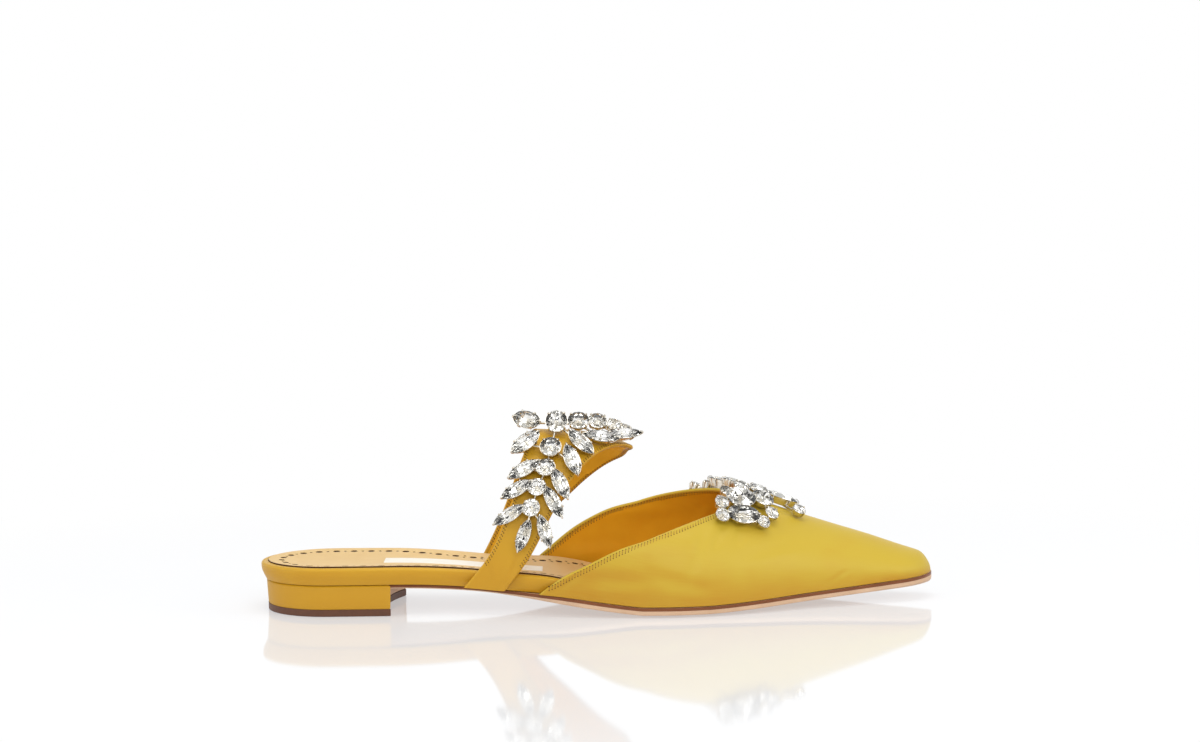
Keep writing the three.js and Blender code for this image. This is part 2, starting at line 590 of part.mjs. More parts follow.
// Label: a blank ribbon laid lengthwise on the sock.
function label() {
  const grid = (lift) => spread(LABEL_START, LABEL_START + LABEL_LENGTH, 14).map((x) => {
    const base = footbedTop(x) + FIT + SOCK_THICKNESS + lift;
    const share = (x - LABEL_START) / LABEL_LENGTH;
    const middle = -THREE.MathUtils.lerp(LABEL_BACK_SHIFT, LABEL_FRONT_SHIFT, share);
    return [-1, 1].map((side) => new THREE.Vector3(x, middle + side * LABEL_WIDTH / 2, base));
  });
  return wallSolid(grid(FIT), grid(FIT + LABEL_THICKNESS));
}

addPiece('label', label(), WHITE_RIBBON);

// Vamp: ribs fan out from the top edge to the sole, so the wall follows the last all round.
// The foremost ribs all run together in the toe tip.
function vampRib(side, share) {
  const wing = side < 0 ? OUTER_WING : INNER_WING;
  const start = 0.025;
  const eased = start + (1 - start) * share;
  const reach = 1 - (1 - eased) ** 2;
  const top = THREE.MathUtils.lerp(wing, LENGTH - VAMP_LENGTH, reach);
  const key = side < 0 ? (row) => row.outer : (row) => row.inner;
  const turn = smooth(TOPLINE, (row) => row.reach, key, reach);
  const topRun = xToRun(top);
  const footShare = Math.min(1, share / TIP_SHARE);
  const footRun = THREE.MathUtils.lerp(xToRun(wing), TOE_END, 1 - (1 - footShare) ** 1.5);
  const footTurn = Math.min(1, (1 - share) / (1 - TIP_SHARE));
  const steps = 10;
  return spread(0, 1, steps).map((t) => ({
    x: runToX(THREE.MathUtils.lerp(topRun, footRun, t)),
    turn: share === 1 ? 0 : side * THREE.MathUtils.lerp(turn, footTurn, t),
  }));
}

function vamp() {
  const shares = spread(0, 1, 26);
  const ribs = [
    ...shares.map((share) => vampRib(-1, share)),
    ...shares.slice(0, -1).reverse().map((share) => vampRib(1, share)),
  ];
  const inside = ribs.map((rib) => rib.map((spot) => lastPoint(spot.x, spot.turn)));
  const isRim = (i, j) => j === inside[0].length - 1;
  return wallSolid(inside, thickened(inside, UPPER_WALL, isRim));
}

addPiece('vamp', vamp(), YELLOW_SATIN);

// Strap: a satin band that follows the instep, broadest and pointed on its ridge.
function strapSpots() {
  const turns = spread(-1, 1, 46);
  return turns.map((turn) => {
    const middle = smooth(STRAP, (row) => row.turn, (row) => row.middle, turn) * LAST_LENGTH;
    const broad = smooth(STRAP, (row) => row.turn, (row) => row.broad, turn) * STRAP_WIDTH;
    return spread(-0.5, 0.5, 5).map((share) => ({ x: middle + share * broad, turn }));
  });
}

function strap() {
  const inside = strapSpots().map((row) => row.map((spot) => lastPoint(spot.x, spot.turn)));
  const isRim = (i) => i === 0 || i === inside.length - 1;
  return wallSolid(inside, thickened(inside, STRAP_WALL, isRim));
}

addPiece('strap', strap(), YELLOW_SATIN);

// Crystals and the metal that carries them

function placeOf(stone, wall) {
  const x = stone.along * LAST_LENGTH;
  const normal = lastNormal(x, stone.turn);
  const forward = lastAhead(x, stone.turn).normalize();
  const angle = THREE.MathUtils.degToRad(stone.heading);
  const long = forward.applyAxisAngle(normal, angle);
  const wide = new THREE.Vector3().crossVectors(normal, long);
  const origin = lastPoint(x, stone.turn).addScaledVector(normal, wall);
  return new THREE.Matrix4().makeBasis(long, wide, normal).setPosition(origin);
}

function stoneSize(stone) {
  if (stone.cut === 'leaf') return [stone.long * LEAF_LENGTH / 2, stone.wide * LEAF_WIDTH / 2];
  return [stone.long * BEAD / 2, stone.wide * BEAD / 2];
}

// Outline of a crystal seen from above: an octagon, or a boat shape with two points.
function stoneOutline(stone, scale) {
  const [halfLong, halfWide] = stoneSize(stone);
  const corners = stone.cut === 'leaf'
    ? [[1, 0], [0.72, 0.5], [0.36, 0.88], [0, 1], [-0.36, 0.88], [-0.72, 0.5]]
    : [[0.924, 0.383], [0.383, 0.924], [-0.383, 0.924], [-0.924, 0.383]];
  const outline = [...corners, ...corners.map(([long, wide]) => [-long, -wide])];
  return outline.map(([long, wide]) => {
    return new THREE.Vector2(long * halfLong * scale, wide * halfWide * scale);
  });
}

function stackSolid(levels, matrix) {
  const triangles = [];
  const rings = levels.map(({ outline, z }) => outline.map((point) => {
    return new THREE.Vector3(point.x, point.y, z).applyMatrix4(matrix);
  }));
  for (let k = 0; k < rings.length - 1; k += 1) {
    addStrip(triangles, [...rings[k], rings[k][0]], [...rings[k + 1], rings[k + 1][0]]);
  }
  const bottom = rings[0];
  const top = rings.at(-1);
  for (let i = 1; i < bottom.length - 1; i += 1) {
    triangles.push([bottom[0], bottom[i + 1], bottom[i]], [top[0], top[i], top[i + 1]]);
  }
  return closedSolid(triangles);
}

// Height of the metal above the satin.
function settingBase(stone) {
  return SETTING_GAP + TIP_LIFT * stone.lift;
}

function crystal(stone, wall) {
  const base = settingBase(stone) + SETTING_PLATE + FIT;
  const backShare = 0.55;
  const faceShare = 0.62;
  const girdle = 0.55 * CRYSTAL_HEIGHT;
  return stackSolid([
    { outline: stoneOutline(stone, backShare), z: base },
    { outline: stoneOutline(stone, 1), z: base + girdle },
    { outline: stoneOutline(stone, faceShare), z: base + CRYSTAL_HEIGHT },
  ], placeOf(stone, wall));
}

// A short bar between the metal under two crystals.
function bar(from, to, wall) {
  const middle = SETTING_PLATE * 0.6;
  const spot = (stone) => {
    return new THREE.Vector3(0, 0, settingBase(stone) + middle).applyMatrix4(placeOf(stone, wall));
  };
  const start = spot(from);
  const end = spot(to);
  const geometry = new THREE.BoxGeometry(start.distanceTo(end), BAR_WIDTH, middle);
  const up = new THREE.Vector3(0, 0, 1).transformDirection(placeOf(from, wall));
  const along = end.clone().sub(start).normalize();
  const wide = new THREE.Vector3().crossVectors(up, along).normalize();
  const across = new THREE.Vector3().crossVectors(along, wide);
  const basis = new THREE.Matrix4().makeBasis(along, wide, across);
  geometry.applyMatrix4(basis.setPosition(start.add(end).multiplyScalar(0.5)));
  geometry.deleteAttribute('normal');
  geometry.deleteAttribute('uv');
  return mergeVertices(geometry);
}

// One plate of metal under every crystal, joined by bars to its neighbours.
function setting(stones, wall) {
  const cupShare = 0.9;
  const solids = stones.flatMap((stone) => {
    const base = settingBase(stone);
    const outline = stoneOutline(stone, cupShare);
    const levels = [{ outline, z: base }, { outline, z: base + SETTING_PLATE }];
    const bars = stone.joins.map((number) => bar(stone, stones[number - 1], wall));
    return [stackSolid(levels, placeOf(stone, wall)), ...bars];
  });
  return fromManifold(solids.map(toManifold).reduce((joined, solid) => joined.add(solid)));
}

function addOrnament(prefix, stones, wall) {
  addPiece(`${prefix}_setting`, setting(stones, wall), PALE_METAL);
  stones.forEach((stone, i) => {
    const number = String(i + 1).padStart(2, '0');
    addPiece(`${prefix}_crystal_${number}`, crystal(stone, wall), CRYSTAL);
  });
}

addOrnament('strap', FROND, STRAP_WALL);
addOrnament('vamp', BROOCH, UPPER_WALL);

export default shoe;
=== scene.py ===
import math
from collections import namedtuple

import bmesh
import bpy
import numpy as np
from mathutils import Matrix, Vector


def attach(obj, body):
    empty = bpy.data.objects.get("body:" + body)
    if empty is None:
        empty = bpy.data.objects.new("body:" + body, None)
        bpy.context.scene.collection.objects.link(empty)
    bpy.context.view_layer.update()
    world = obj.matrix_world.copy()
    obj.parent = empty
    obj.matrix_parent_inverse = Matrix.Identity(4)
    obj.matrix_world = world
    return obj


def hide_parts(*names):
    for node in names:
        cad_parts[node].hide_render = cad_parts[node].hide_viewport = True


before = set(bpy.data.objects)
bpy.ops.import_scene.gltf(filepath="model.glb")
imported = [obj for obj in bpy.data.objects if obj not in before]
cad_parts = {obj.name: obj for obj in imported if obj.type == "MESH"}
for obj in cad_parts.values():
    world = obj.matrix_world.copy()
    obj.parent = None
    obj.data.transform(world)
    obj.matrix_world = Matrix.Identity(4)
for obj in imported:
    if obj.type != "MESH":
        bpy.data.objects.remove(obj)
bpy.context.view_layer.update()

MM = 0.001

# The studio: a white table with a faint gloss, a white wall of light behind the shoe and soft
# lamps above it. White panels and black gaps between them, on the camera's side, give the
# crystals their contrast.
# The camera stands a metre from the outer side of the shoe and a little above it.
AIM = (106.5, 0.0, 90.3)
CAMERA_DISTANCE = 1000
CAMERA_AZIMUTH = math.radians(-0.53)
CAMERA_ELEVATION = math.radians(4.13)
CAMERA_ROLL = math.radians(-0.59)
CAMERA_LENS = 77.76
TABLE_SIZE = 12000
TABLE_GLOSS = 0.3
TABLE_FADE_START = 150
TABLE_FADE_END = 400
TABLE_GLOW = 0.6
PANEL_SCALE = 3.5
PANEL_LIGHT = [1.3, 1.3, 1.3, 1]
GAP_SHARE = 0.3

# Name, place, what the lamp is aimed at, width and power.
SOFTBOXES = [
    ("overhead_softbox", (150, -150, 900), (110, 0, 20), 700, 3.0),
    ("front_softbox", (350, -1100, 700), (110, 0, 20), 500, 2.8),
    ("heel_strip", (-800, -500, 500), (20, 0, 20), 250, 1.2),
    ("toe_strip", (1000, -350, 450), (200, 0, 20), 250, 1.5),
]


def linear(hex_colour):
    shares = [int(hex_colour[i:i + 2], 16) / 255 for i in (1, 3, 5)]
    return [s / 12.92 if s <= 0.04045 else ((s + 0.055) / 1.055) ** 2.4 for s in shares] + [1]


def add_node(tree, kind, settings=None, inputs=None):
    node = tree.nodes.new(kind)
    for name, value in (settings or {}).items():
        setattr(node, name, value)
    for name, value in (inputs or {}).items():
        if isinstance(value, bpy.types.NodeSocket):
            tree.links.new(value, node.inputs[name])
        else:
            node.inputs[name].default_value = value
    return node


def texture_place(tree, kind="Object"):
    return add_node(tree, "ShaderNodeTexCoord").outputs[kind]


def eased(tree, value, low, high, top=1):
    """A share that rises softly from 0, where the value is low, to top, where it is high."""
    return add_node(tree, "ShaderNodeMapRange", {"interpolation_type": "SMOOTHSTEP"}, {
        "Value": value, "From Min": low, "From Max": high, "To Max": top,
    }).outputs["Result"]


def mixed(tree, share, first, second):
    """A mix of two colours, each given as a hex colour or as the output of a node."""
    colours = [linear(each) if isinstance(each, str) else each for each in (first, second)]
    return add_node(tree, "ShaderNodeMix", {"data_type": "RGBA"}, {
        "Factor": share, "A": colours[0], "B": colours[1],
    }).outputs["Result"]


def worked_out(tree, operation, *values, clamped=False):
    settings = {"operation": operation, "use_clamp": clamped}
    return add_node(tree, "ShaderNodeMath", settings, dict(enumerate(values))).outputs["Value"]


def new_material(name):
    material = bpy.data.materials.new(name)
    material.use_nodes = True
    material.node_tree.nodes.clear()
    return material


def layered(tree, share, below, above):
    return add_node(tree, "ShaderNodeMixShader", inputs={
        0: share, 1: below.outputs[0], 2: above.outputs[0],
    })


def looking(at, aim, roll=0):
    back = (Vector(at) - Vector(aim)).normalized()
    turn = back.to_track_quat("Z", "Y").to_matrix() @ Matrix.Rotation(roll, 3, "Z")
    return Matrix.Translation(Vector(at) * MM) @ turn.to_4x4()


toward = Vector((
    -math.sin(CAMERA_AZIMUTH) * math.cos(CAMERA_ELEVATION),
    math.cos(CAMERA_AZIMUTH) * math.cos(CAMERA_ELEVATION),
    -math.sin(CAMERA_ELEVATION),
))
camera = bpy.data.objects.new("camera", bpy.data.cameras.new("camera"))
bpy.context.scene.collection.objects.link(camera)
camera.data.lens = CAMERA_LENS
camera.matrix_world = looking(Vector(AIM) - toward * CAMERA_DISTANCE, AIM, CAMERA_ROLL)
bpy.context.scene.camera = camera
bpy.context.scene.view_settings.view_transform = "Standard"

for name, at, aim, size, power in SOFTBOXES:
    light = bpy.data.lights.new(name, "AREA")
    light.size = size * MM
    light.energy = power
    holder = bpy.data.objects.new(name, light)
    holder.matrix_world = looking(at, aim)
    bpy.context.scene.collection.objects.link(holder)

world = bpy.data.worlds.new("studio")
bpy.context.scene.world = world
world.use_nodes = True
room = world.node_tree
room.nodes.clear()
direction = texture_place(room, "Generated")
heading = add_node(room, "ShaderNodeSeparateXYZ", inputs={"Vector": direction})
to_wall = eased(room, heading.outputs["Y"], -0.75, 0.15)
to_ceiling = eased(room, heading.outputs["Z"], 0.15, 0.8)
panels = add_node(room, "ShaderNodeTexVoronoi", inputs={"Vector": direction, "Scale": PANEL_SCALE})
panel_tones = add_node(room, "ShaderNodeSeparateColor", inputs={"Color": panels.outputs["Color"]})
panel_lit = worked_out(room, "GREATER_THAN", panel_tones.outputs["Red"], GAP_SHARE)
walls = mixed(room, to_wall, mixed(room, panel_lit, "#141414", PANEL_LIGHT), "#ffffff")
lit_room = mixed(room, to_ceiling, walls, "#d0d0ce")
camera_ray = add_node(room, "ShaderNodeLightPath").outputs["Is Camera Ray"]
seen = mixed(room, camera_ray, lit_room, "#ffffff")
room_light = add_node(room, "ShaderNodeBackground", inputs={"Color": seen})
add_node(room, "ShaderNodeOutputWorld", inputs={"Surface": room_light.outputs["Background"]})

# White lacquered table top: matt white with a thin, even gloss that mirrors the shoe faintly.
# Away from the shoe it runs out into evenly lit white.
lacquer = new_material("white_lacquer")
coat = lacquer.node_tree
paint = add_node(coat, "ShaderNodeBsdfDiffuse", inputs={"Color": linear("#fbfbfb")})
# Painted light: part of the matt white glows on its own, so the shoe's shadow on the table stays pale.
shadow_lifting_glow = add_node(coat, "ShaderNodeEmission", inputs={"Color": linear("#f8f9fb")})
gloss = add_node(coat, "ShaderNodeBsdfGlossy", inputs={"Color": linear("#fbfcff"), "Roughness": 0.06})
glow = add_node(coat, "ShaderNodeEmission", inputs={"Color": linear("#ffffff")})
from_shoe = add_node(coat, "ShaderNodeVectorMath", {"operation": "DISTANCE"}, {
    0: texture_place(coat), 1: (AIM[0] * MM, 0, 0),
})
into_white = eased(coat, from_shoe.outputs["Value"], TABLE_FADE_START * MM, TABLE_FADE_END * MM)
coated = layered(coat, TABLE_GLOSS, layered(coat, TABLE_GLOW, paint, shadow_lifting_glow), gloss)
faded = layered(coat, into_white, coated, glow)
add_node(coat, "ShaderNodeOutputMaterial", inputs={"Surface": faded.outputs["Shader"]})

table_half = TABLE_SIZE / 2 * MM
table_mesh = bpy.data.meshes.new("table")
table_corners = [(x * table_half, y * table_half, 0) for x, y in ((-1, -1), (1, -1), (1, 1), (-1, 1))]
table_mesh.from_pydata(table_corners, [], [(0, 1, 2, 3)])
table_mesh.materials.append(lacquer)
table = bpy.data.objects.new("table", table_mesh)
bpy.context.scene.collection.objects.link(table)

# The last: the wooden form that the whole shoe is built on. Its sections give every piece its
# curves. Lengths run from the back of the footbed, and the shoe's origin lies under the middle
# of the heel.
LENGTH = 261
UPPER_WALL = 1.6
LAST_LENGTH = LENGTH - UPPER_WALL
BALL_WIDTH = 72
HEEL_WIDTH = 56
INSTEP_HEIGHT = 60
SEAT_HEIGHT = 11.8
HEEL_LENGTH = 51
HEEL_MIDDLE = HEEL_LENGTH / 2
TOE_SPRING = 6
BALL_BACK = 147
BALL_FRONT = 172
WAIST_FRONT = 85
TREAD_BACK = 125
SOLE_THICKNESS = 3.8
WAIST_THICKNESS = 2.3
OUTER_WING = 108
INNER_WING = 100
HEEL_ROUND = 28
TOE_ROUND = 13
NOSE_ROUND = 4
FIT = 0.3

# Along, outer and inner half width, ridge, crest, peak, swell. The first is a share of the
# last's length, the next three are shares of the heel or ball width, crest is a share of the
# instep height, peak sharpens the roof and swell bulges the side.
SEAT_SECTIONS = [
    (0, 0.504, 0.500, 0, 0.765, 1, 0.06),
    (0.108, 0.505, 0.500, 0, 0.80, 1, 0.06),
    (0.193, 0.502, 0.482, 0, 0.84, 1, 0.06),
]
FORE_SECTIONS = [
    (0.258, 0.374, 0.335, 0, 0.89, 1, 0.06),
    (0.324, 0.361, 0.306, 0, 0.93, 1, 0.07),
    (0.374, 0.381, 0.318, 0.007, 0.955, 1.02, 0.07),
    (0.424, 0.415, 0.374, 0.021, 0.966, 1.05, 0.06),
    (0.482, 0.461, 0.436, 0.042, 0.975, 1.08, 0.05),
    (0.520, 0.483, 0.469, 0.056, 0.962, 1.10, 0.045),
    (0.559, 0.494, 0.494, 0.062, 0.905, 1.10, 0.04),
    (0.617, 0.497, 0.510, 0.062, 0.782, 1.10, 0.03),
    (0.675, 0.454, 0.497, 0.058, 0.670, 1.10, 0.03),
    (0.732, 0.378, 0.453, 0.056, 0.563, 1.08, 0.03),
    (0.798, 0.267, 0.389, 0.069, 0.445, 1.05, 0.03),
    (0.856, 0.189, 0.333, 0.088, 0.345, 1.02, 0.03),
    (0.910, 0.125, 0.283, 0.111, 0.252, 1, 0.03),
    (0.956, 0.069, 0.246, 0.133, 0.165, 1, 0.03),
    (0.987, 0.036, 0.225, 0.144, 0.108, 1, 0.03),
    (1, 0.014, 0.215, 0.153, 0.072, 1, 0.03),
]
SECTION_UNITS = {HEEL_WIDTH: SEAT_SECTIONS, BALL_WIDTH: FORE_SECTIONS}
LAST = np.array([
    (along * LAST_LENGTH, outer * width, inner * width, ridge * width, crest * INSTEP_HEIGHT, *roof)
    for width, sections in SECTION_UNITS.items()
    for along, outer, inner, ridge, crest, *roof in sections
])


def lerp(a, b, share):
    return a + (b - a) * share


def smoothstep(value, low, high):
    share = np.clip((np.asarray(value, float) - low) / (high - low), 0, 1)
    return share * share * (3 - 2 * share)


def smooth(table, column, place):
    """One column of a table at places between its rows, along a smooth curve."""
    keys, values = table[:, 0], table[:, column]
    before = np.r_[0, np.arange(len(keys) - 1)]
    after = np.r_[np.arange(1, len(keys)), len(keys) - 1]
    slope = (values[after] - values[before]) / (keys[after] - keys[before])
    place = np.asarray(place, float)
    i = np.clip(np.searchsorted(keys, place) - 1, 0, len(keys) - 2)
    span = keys[i + 1] - keys[i]
    t = np.clip((place - keys[i]) / span, 0, 1)
    start = (2 * t ** 3 - 3 * t ** 2 + 1) * values[i] + (t ** 3 - 2 * t ** 2 + t) * slope[i] * span
    return start + (-2 * t ** 3 + 3 * t ** 2) * values[i + 1] + (t ** 3 - t ** 2) * slope[i + 1] * span


def underside(x):
    arch = np.clip((BALL_BACK - x) / (BALL_BACK - HEEL_LENGTH), 0, 1)
    spring = np.clip((x - BALL_FRONT) / (LENGTH - BALL_FRONT), 0, 1)
    lift = (SEAT_HEIGHT - WAIST_THICKNESS) * np.sin(math.pi / 2 * arch ** 1.15)
    return lift + TOE_SPRING * spring ** 1.25


def sole_top(x):
    forward = smoothstep(x, WAIST_FRONT, TREAD_BACK)
    return underside(x) + lerp(WAIST_THICKNESS, SOLE_THICKNESS, forward)


def rounded_end(x, length, end):
    inside = np.clip((length - np.abs(end - x)) / length, 0, 1)
    return np.sqrt(1 - inside * inside)


def last_point(x, turn):
    """Points of the last: turn is -1 on the outer edge of the sole, 0 on the ridge, 1 inner."""
    x, turn = np.broadcast_arrays(np.asarray(x, float), np.asarray(turn, float))
    ridge = smooth(LAST, 3, x)
    edge = np.where(turn < 0, -smooth(LAST, 1, x), smooth(LAST, 2, x))
    rise = np.cos(math.pi / 2 * turn)
    spread = np.abs(np.sin(math.pi / 2 * turn)) ** smooth(LAST, 5, x)
    ends = rounded_end(x, HEEL_ROUND, 0) * rounded_end(x, TOE_ROUND, LAST_LENGTH)
    bulge = 1 + 4 * smooth(LAST, 6, x) * rise * (1 - rise)
    y = ridge + (edge - ridge) * ends * spread * bulge
    z = sole_top(x) + FIT + smooth(LAST, 4, x) * rise * rounded_end(x, NOSE_ROUND, LAST_LENGTH)
    return np.stack([x, y, z], axis=-1)


HEEL_ARC = HEEL_ROUND * math.pi / 2
STRAIGHT_RUN = LAST_LENGTH - HEEL_ROUND - TOE_ROUND
TOE_END = HEEL_ARC + STRAIGHT_RUN + TOE_ROUND * math.pi / 2


def run_to_x(run):
    """Distance along the last for a distance run along its rounded outline."""
    run = np.asarray(run, float)
    heel = HEEL_ROUND * (1 - np.cos(np.clip(run, 0, HEEL_ARC) / HEEL_ROUND))
    past = np.clip(run - HEEL_ARC - STRAIGHT_RUN, 0, TOE_ROUND * math.pi / 2)
    toe = LAST_LENGTH - TOE_ROUND + TOE_ROUND * np.sin(past / TOE_ROUND)
    return np.where(run < HEEL_ARC, heel, np.where(past > 0, toe, HEEL_ROUND + run - HEEL_ARC))


def x_to_run(x):
    return HEEL_ARC + x - HEEL_ROUND


def edge_point(run, side, inset):
    """Plan points of the last's outline, moved inwards by inset."""
    run = np.asarray(run, float)
    step = 0.05
    here = last_point(run_to_x(run), side)[..., :2]
    before = last_point(run_to_x(np.clip(run - step, 0, TOE_END)), side)[..., :2]
    after = last_point(run_to_x(np.clip(run + step, 0, TOE_END)), side)[..., :2]
    along = after - before
    along /= np.linalg.norm(along, axis=-1, keepdims=True)
    inward = np.stack([side * along[..., 1], -side * along[..., 0]], axis=-1)
    inward = np.where((run <= 0)[..., None], (1, 0), inward)
    inward = np.where((run >= TOE_END)[..., None], (-1, 0), inward)
    return here + inward * np.broadcast_to(inset, run.shape)[..., None]


def unit(vectors):
    return vectors / np.maximum(np.linalg.norm(vectors, axis=-1, keepdims=True), 1e-9)


def grid_quads(rows, columns, start=0):
    corner = np.arange(rows - 1)[:, None] * columns + np.arange(columns - 1) + start
    quads = np.stack([corner, corner + columns, corner + columns + 1, corner + 1], axis=-1)
    return quads.reshape(-1, 4)


def make_piece(name, points, faces, materials, kinds=None, uvs=None, sharp_angle=30, weld=0.002):
    """A mesh in the shoe's frame from points in millimetres, with its doubled points joined."""
    mesh = bpy.data.meshes.new(name)
    in_shoe = (np.asarray(points) - (HEEL_MIDDLE, 0, 0)) * MM
    mesh.from_pydata(in_shoe, [], [list(map(int, face)) for face in faces])
    for material in materials:
        mesh.materials.append(material)
    if kinds is not None:
        mesh.polygons.foreach_set("material_index", np.asarray(kinds, dtype=np.int32))
    if uvs is not None:
        corners = np.empty(len(mesh.loops), dtype=np.int32)
        mesh.loops.foreach_get("vertex_index", corners)
        mesh.uv_layers.new(name="cloth").data.foreach_set("uv", np.asarray(uvs)[corners].ravel())
    form = bmesh.new()
    form.from_mesh(mesh)
    bmesh.ops.remove_doubles(form, verts=form.verts, dist=weld * MM)
    bmesh.ops.dissolve_degenerate(form, edges=form.edges, dist=1e-7)
    bmesh.ops.recalc_face_normals(form, faces=form.faces)
    if form.calc_volume(signed=True) < 0:
        bmesh.ops.reverse_faces(form, faces=form.faces)
    form.to_mesh(mesh)
    form.free()
    mesh.polygons.foreach_set("use_smooth", np.ones(len(mesh.polygons), dtype=bool))
    mesh.set_sharp_from_angle(angle=math.radians(sharp_angle))
    piece = bpy.data.objects.new(name, mesh)
    bpy.context.scene.collection.objects.link(piece)
    return piece


def settle(piece, slot, *nodes):
    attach(piece, "root")
    if nodes:
        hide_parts(*nodes)


# Heel: a low wooden block covered with the satin of the upper, as wide as the footbed above it
# less a small step, with a hollow front. The satin is pasted on and its edges are hidden.
TOP_LIFT_HEIGHT = 2.7
HEEL_INSET = 2.3
HEEL_TAPER = 0.5
BREAST_SLANT = 3
BREAST_SAG = 5.5
HEEL_EDGE = 0.5
CORNER_SHARE = 0.86
CORNER_COVER = 1.5
WARP_PITCH = 0.4
WARP_FLOAT = 9
WAVE_LENGTH = math.pi / 10  # of the wave texture at scale 1


def noise(tree, vector, scale, detail):
    inputs = {"Vector": vector, "Scale": scale, "Detail": detail}
    return add_node(tree, "ShaderNodeTexNoise", inputs=inputs).outputs["Fac"]


def bumped(tree, height, strength, distance):
    inputs = {"Height": height, "Strength": strength, "Distance": distance * MM}
    return add_node(tree, "ShaderNodeBump", inputs=inputs).outputs["Normal"]


def finish_surface(tree, inputs):
    shader = add_node(tree, "ShaderNodeBsdfPrincipled", inputs=inputs)
    add_node(tree, "ShaderNodeOutputMaterial", inputs={"Surface": shader.outputs["BSDF"]})


def woven_satin(name, hex_colour, lemon):
    """Duchess satin of silk: fine warp floats give a soft sheen. Its colour is painted lemon on faces
    that point upwards, a painted highlight for the light from above, and in random lighter patches of
    the cloth. Its threads are 0.1 mm apart, drawn four times as coarse to show."""
    satin = new_material(name)
    tree = satin.node_tree
    cloth = add_node(tree, "ShaderNodeUVMap", {"uv_map": "cloth"}).outputs["UV"]
    warp = add_node(tree, "ShaderNodeTexWave", {"bands_direction": "Y"}, {
        "Vector": cloth, "Scale": WAVE_LENGTH / WARP_PITCH, "Distortion": 1.2,
        "Detail": 1, "Detail Scale": 0.6,
    })
    stretched = add_node(tree, "ShaderNodeMapping", inputs={
        "Vector": cloth, "Scale": (1 / WARP_FLOAT, 1 / WARP_PITCH, 1),
    })
    slubs = noise(tree, stretched.outputs["Vector"], 1, 4)
    shade = worked_out(tree, "MULTIPLY_ADD", slubs, 0.55, noise(tree, cloth, 0.05, 2))
    tone = add_node(tree, "ShaderNodeMapRange", inputs={
        "Value": shade, "From Min": 0.45, "From Max": 1.1,
    })
    facing = add_node(tree, "ShaderNodeSeparateXYZ", inputs={"Vector": texture_place(tree, "Normal")})
    # Painted highlight: the colour turns lemon on faces that point upwards, as if lit from above.
    painted_top_light = eased(tree, facing.outputs["Z"], -0.2, 0.45, 0.8)
    tone_and_painted_light = worked_out(tree, "MULTIPLY_ADD", tone.outputs["Result"], 0.4, painted_top_light, clamped=True)
    relief = worked_out(tree, "MULTIPLY_ADD", slubs, 1.5, warp.outputs["Fac"])
    tangent = add_node(tree, "ShaderNodeTangent", {"direction_type": "UV_MAP", "uv_map": "cloth"})
    finish_surface(tree, {
        "Base Color": mixed(tree, tone_and_painted_light, hex_colour, lemon), "Roughness": 0.45, "IOR": 1.5,
        "Anisotropic": 0.5, "Tangent": tangent.outputs["Tangent"], "Specular IOR Level": 0.34,
        "Sheen Weight": 0.12, "Sheen Roughness": 0.35, "Sheen Tint": linear("#fff08a"),
        "Normal": bumped(tree, relief, 0.35, 0.02),
    })
    return satin


mustard_satin = woven_satin("mustard_satin", "#ba8416", "#c3a630")
# A darker, warmer copy of the same satin for heel, footbed and strap: painted shade, for the strap
# under the stones and for the sides of heel and footbed that face away from the light above.
satin_painted_shade = woven_satin("mustard_satin_painted_shade", "#c08c18", "#c9991f")


def breast_curve(inset, forward, corners=0):
    """The hollow front edge of the heel, from the inner to the outer side. Its two corners can
    stand further forward than the rest."""
    outer = float(edge_point(x_to_run(HEEL_LENGTH), -1, 0)[1])
    inner = float(edge_point(x_to_run(HEEL_LENGTH + BREAST_SLANT), 1, 0)[1])
    y = np.linspace(inner - inset, outer + inset, 41)
    share = (2 * y - inner - outer) / (inner - outer)
    x = HEEL_LENGTH + BREAST_SLANT * (share + 1) / 2 - BREAST_SAG * (1 - share ** 2)
    return np.stack([x + forward + corners * (np.abs(share) > CORNER_SHARE), y], axis=-1)


def heel_ring(inset, forward, corners=0):
    outer_run = np.linspace(x_to_run(HEEL_LENGTH), 0, 61)
    inner_run = np.linspace(0, x_to_run(HEEL_LENGTH + BREAST_SLANT), 61)
    outer = edge_point(outer_run, -1, inset)[1:]
    inner = edge_point(inner_run, 1, inset)[1:-1]
    return np.concatenate([outer, inner, breast_curve(inset, forward, corners)])


def tube_faces(count, rings):
    """Faces of a closed tube: quads between rings of count points each, and two flat ends."""
    faces = []
    for k in range(rings - 1):
        for i in range(count):
            a, b = k * count + i, k * count + (i + 1) % count
            faces.append((a, b, b + count, a + count))
    faces.append(tuple(range(count - 1, -1, -1)))
    faces.append(tuple(range((rings - 1) * count, rings * count)))
    return faces


def stacked_rings(rings):
    """A solid from closed outlines at rising heights, with flat ends."""
    points = np.concatenate([np.c_[ring, np.full(len(ring), z)] for ring, z in rings])
    return points, tube_faces(len(rings[0][0]), len(rings))


def ring_lengths(ring):
    return np.r_[0, np.cumsum(np.linalg.norm(np.diff(ring, axis=0), axis=1))]


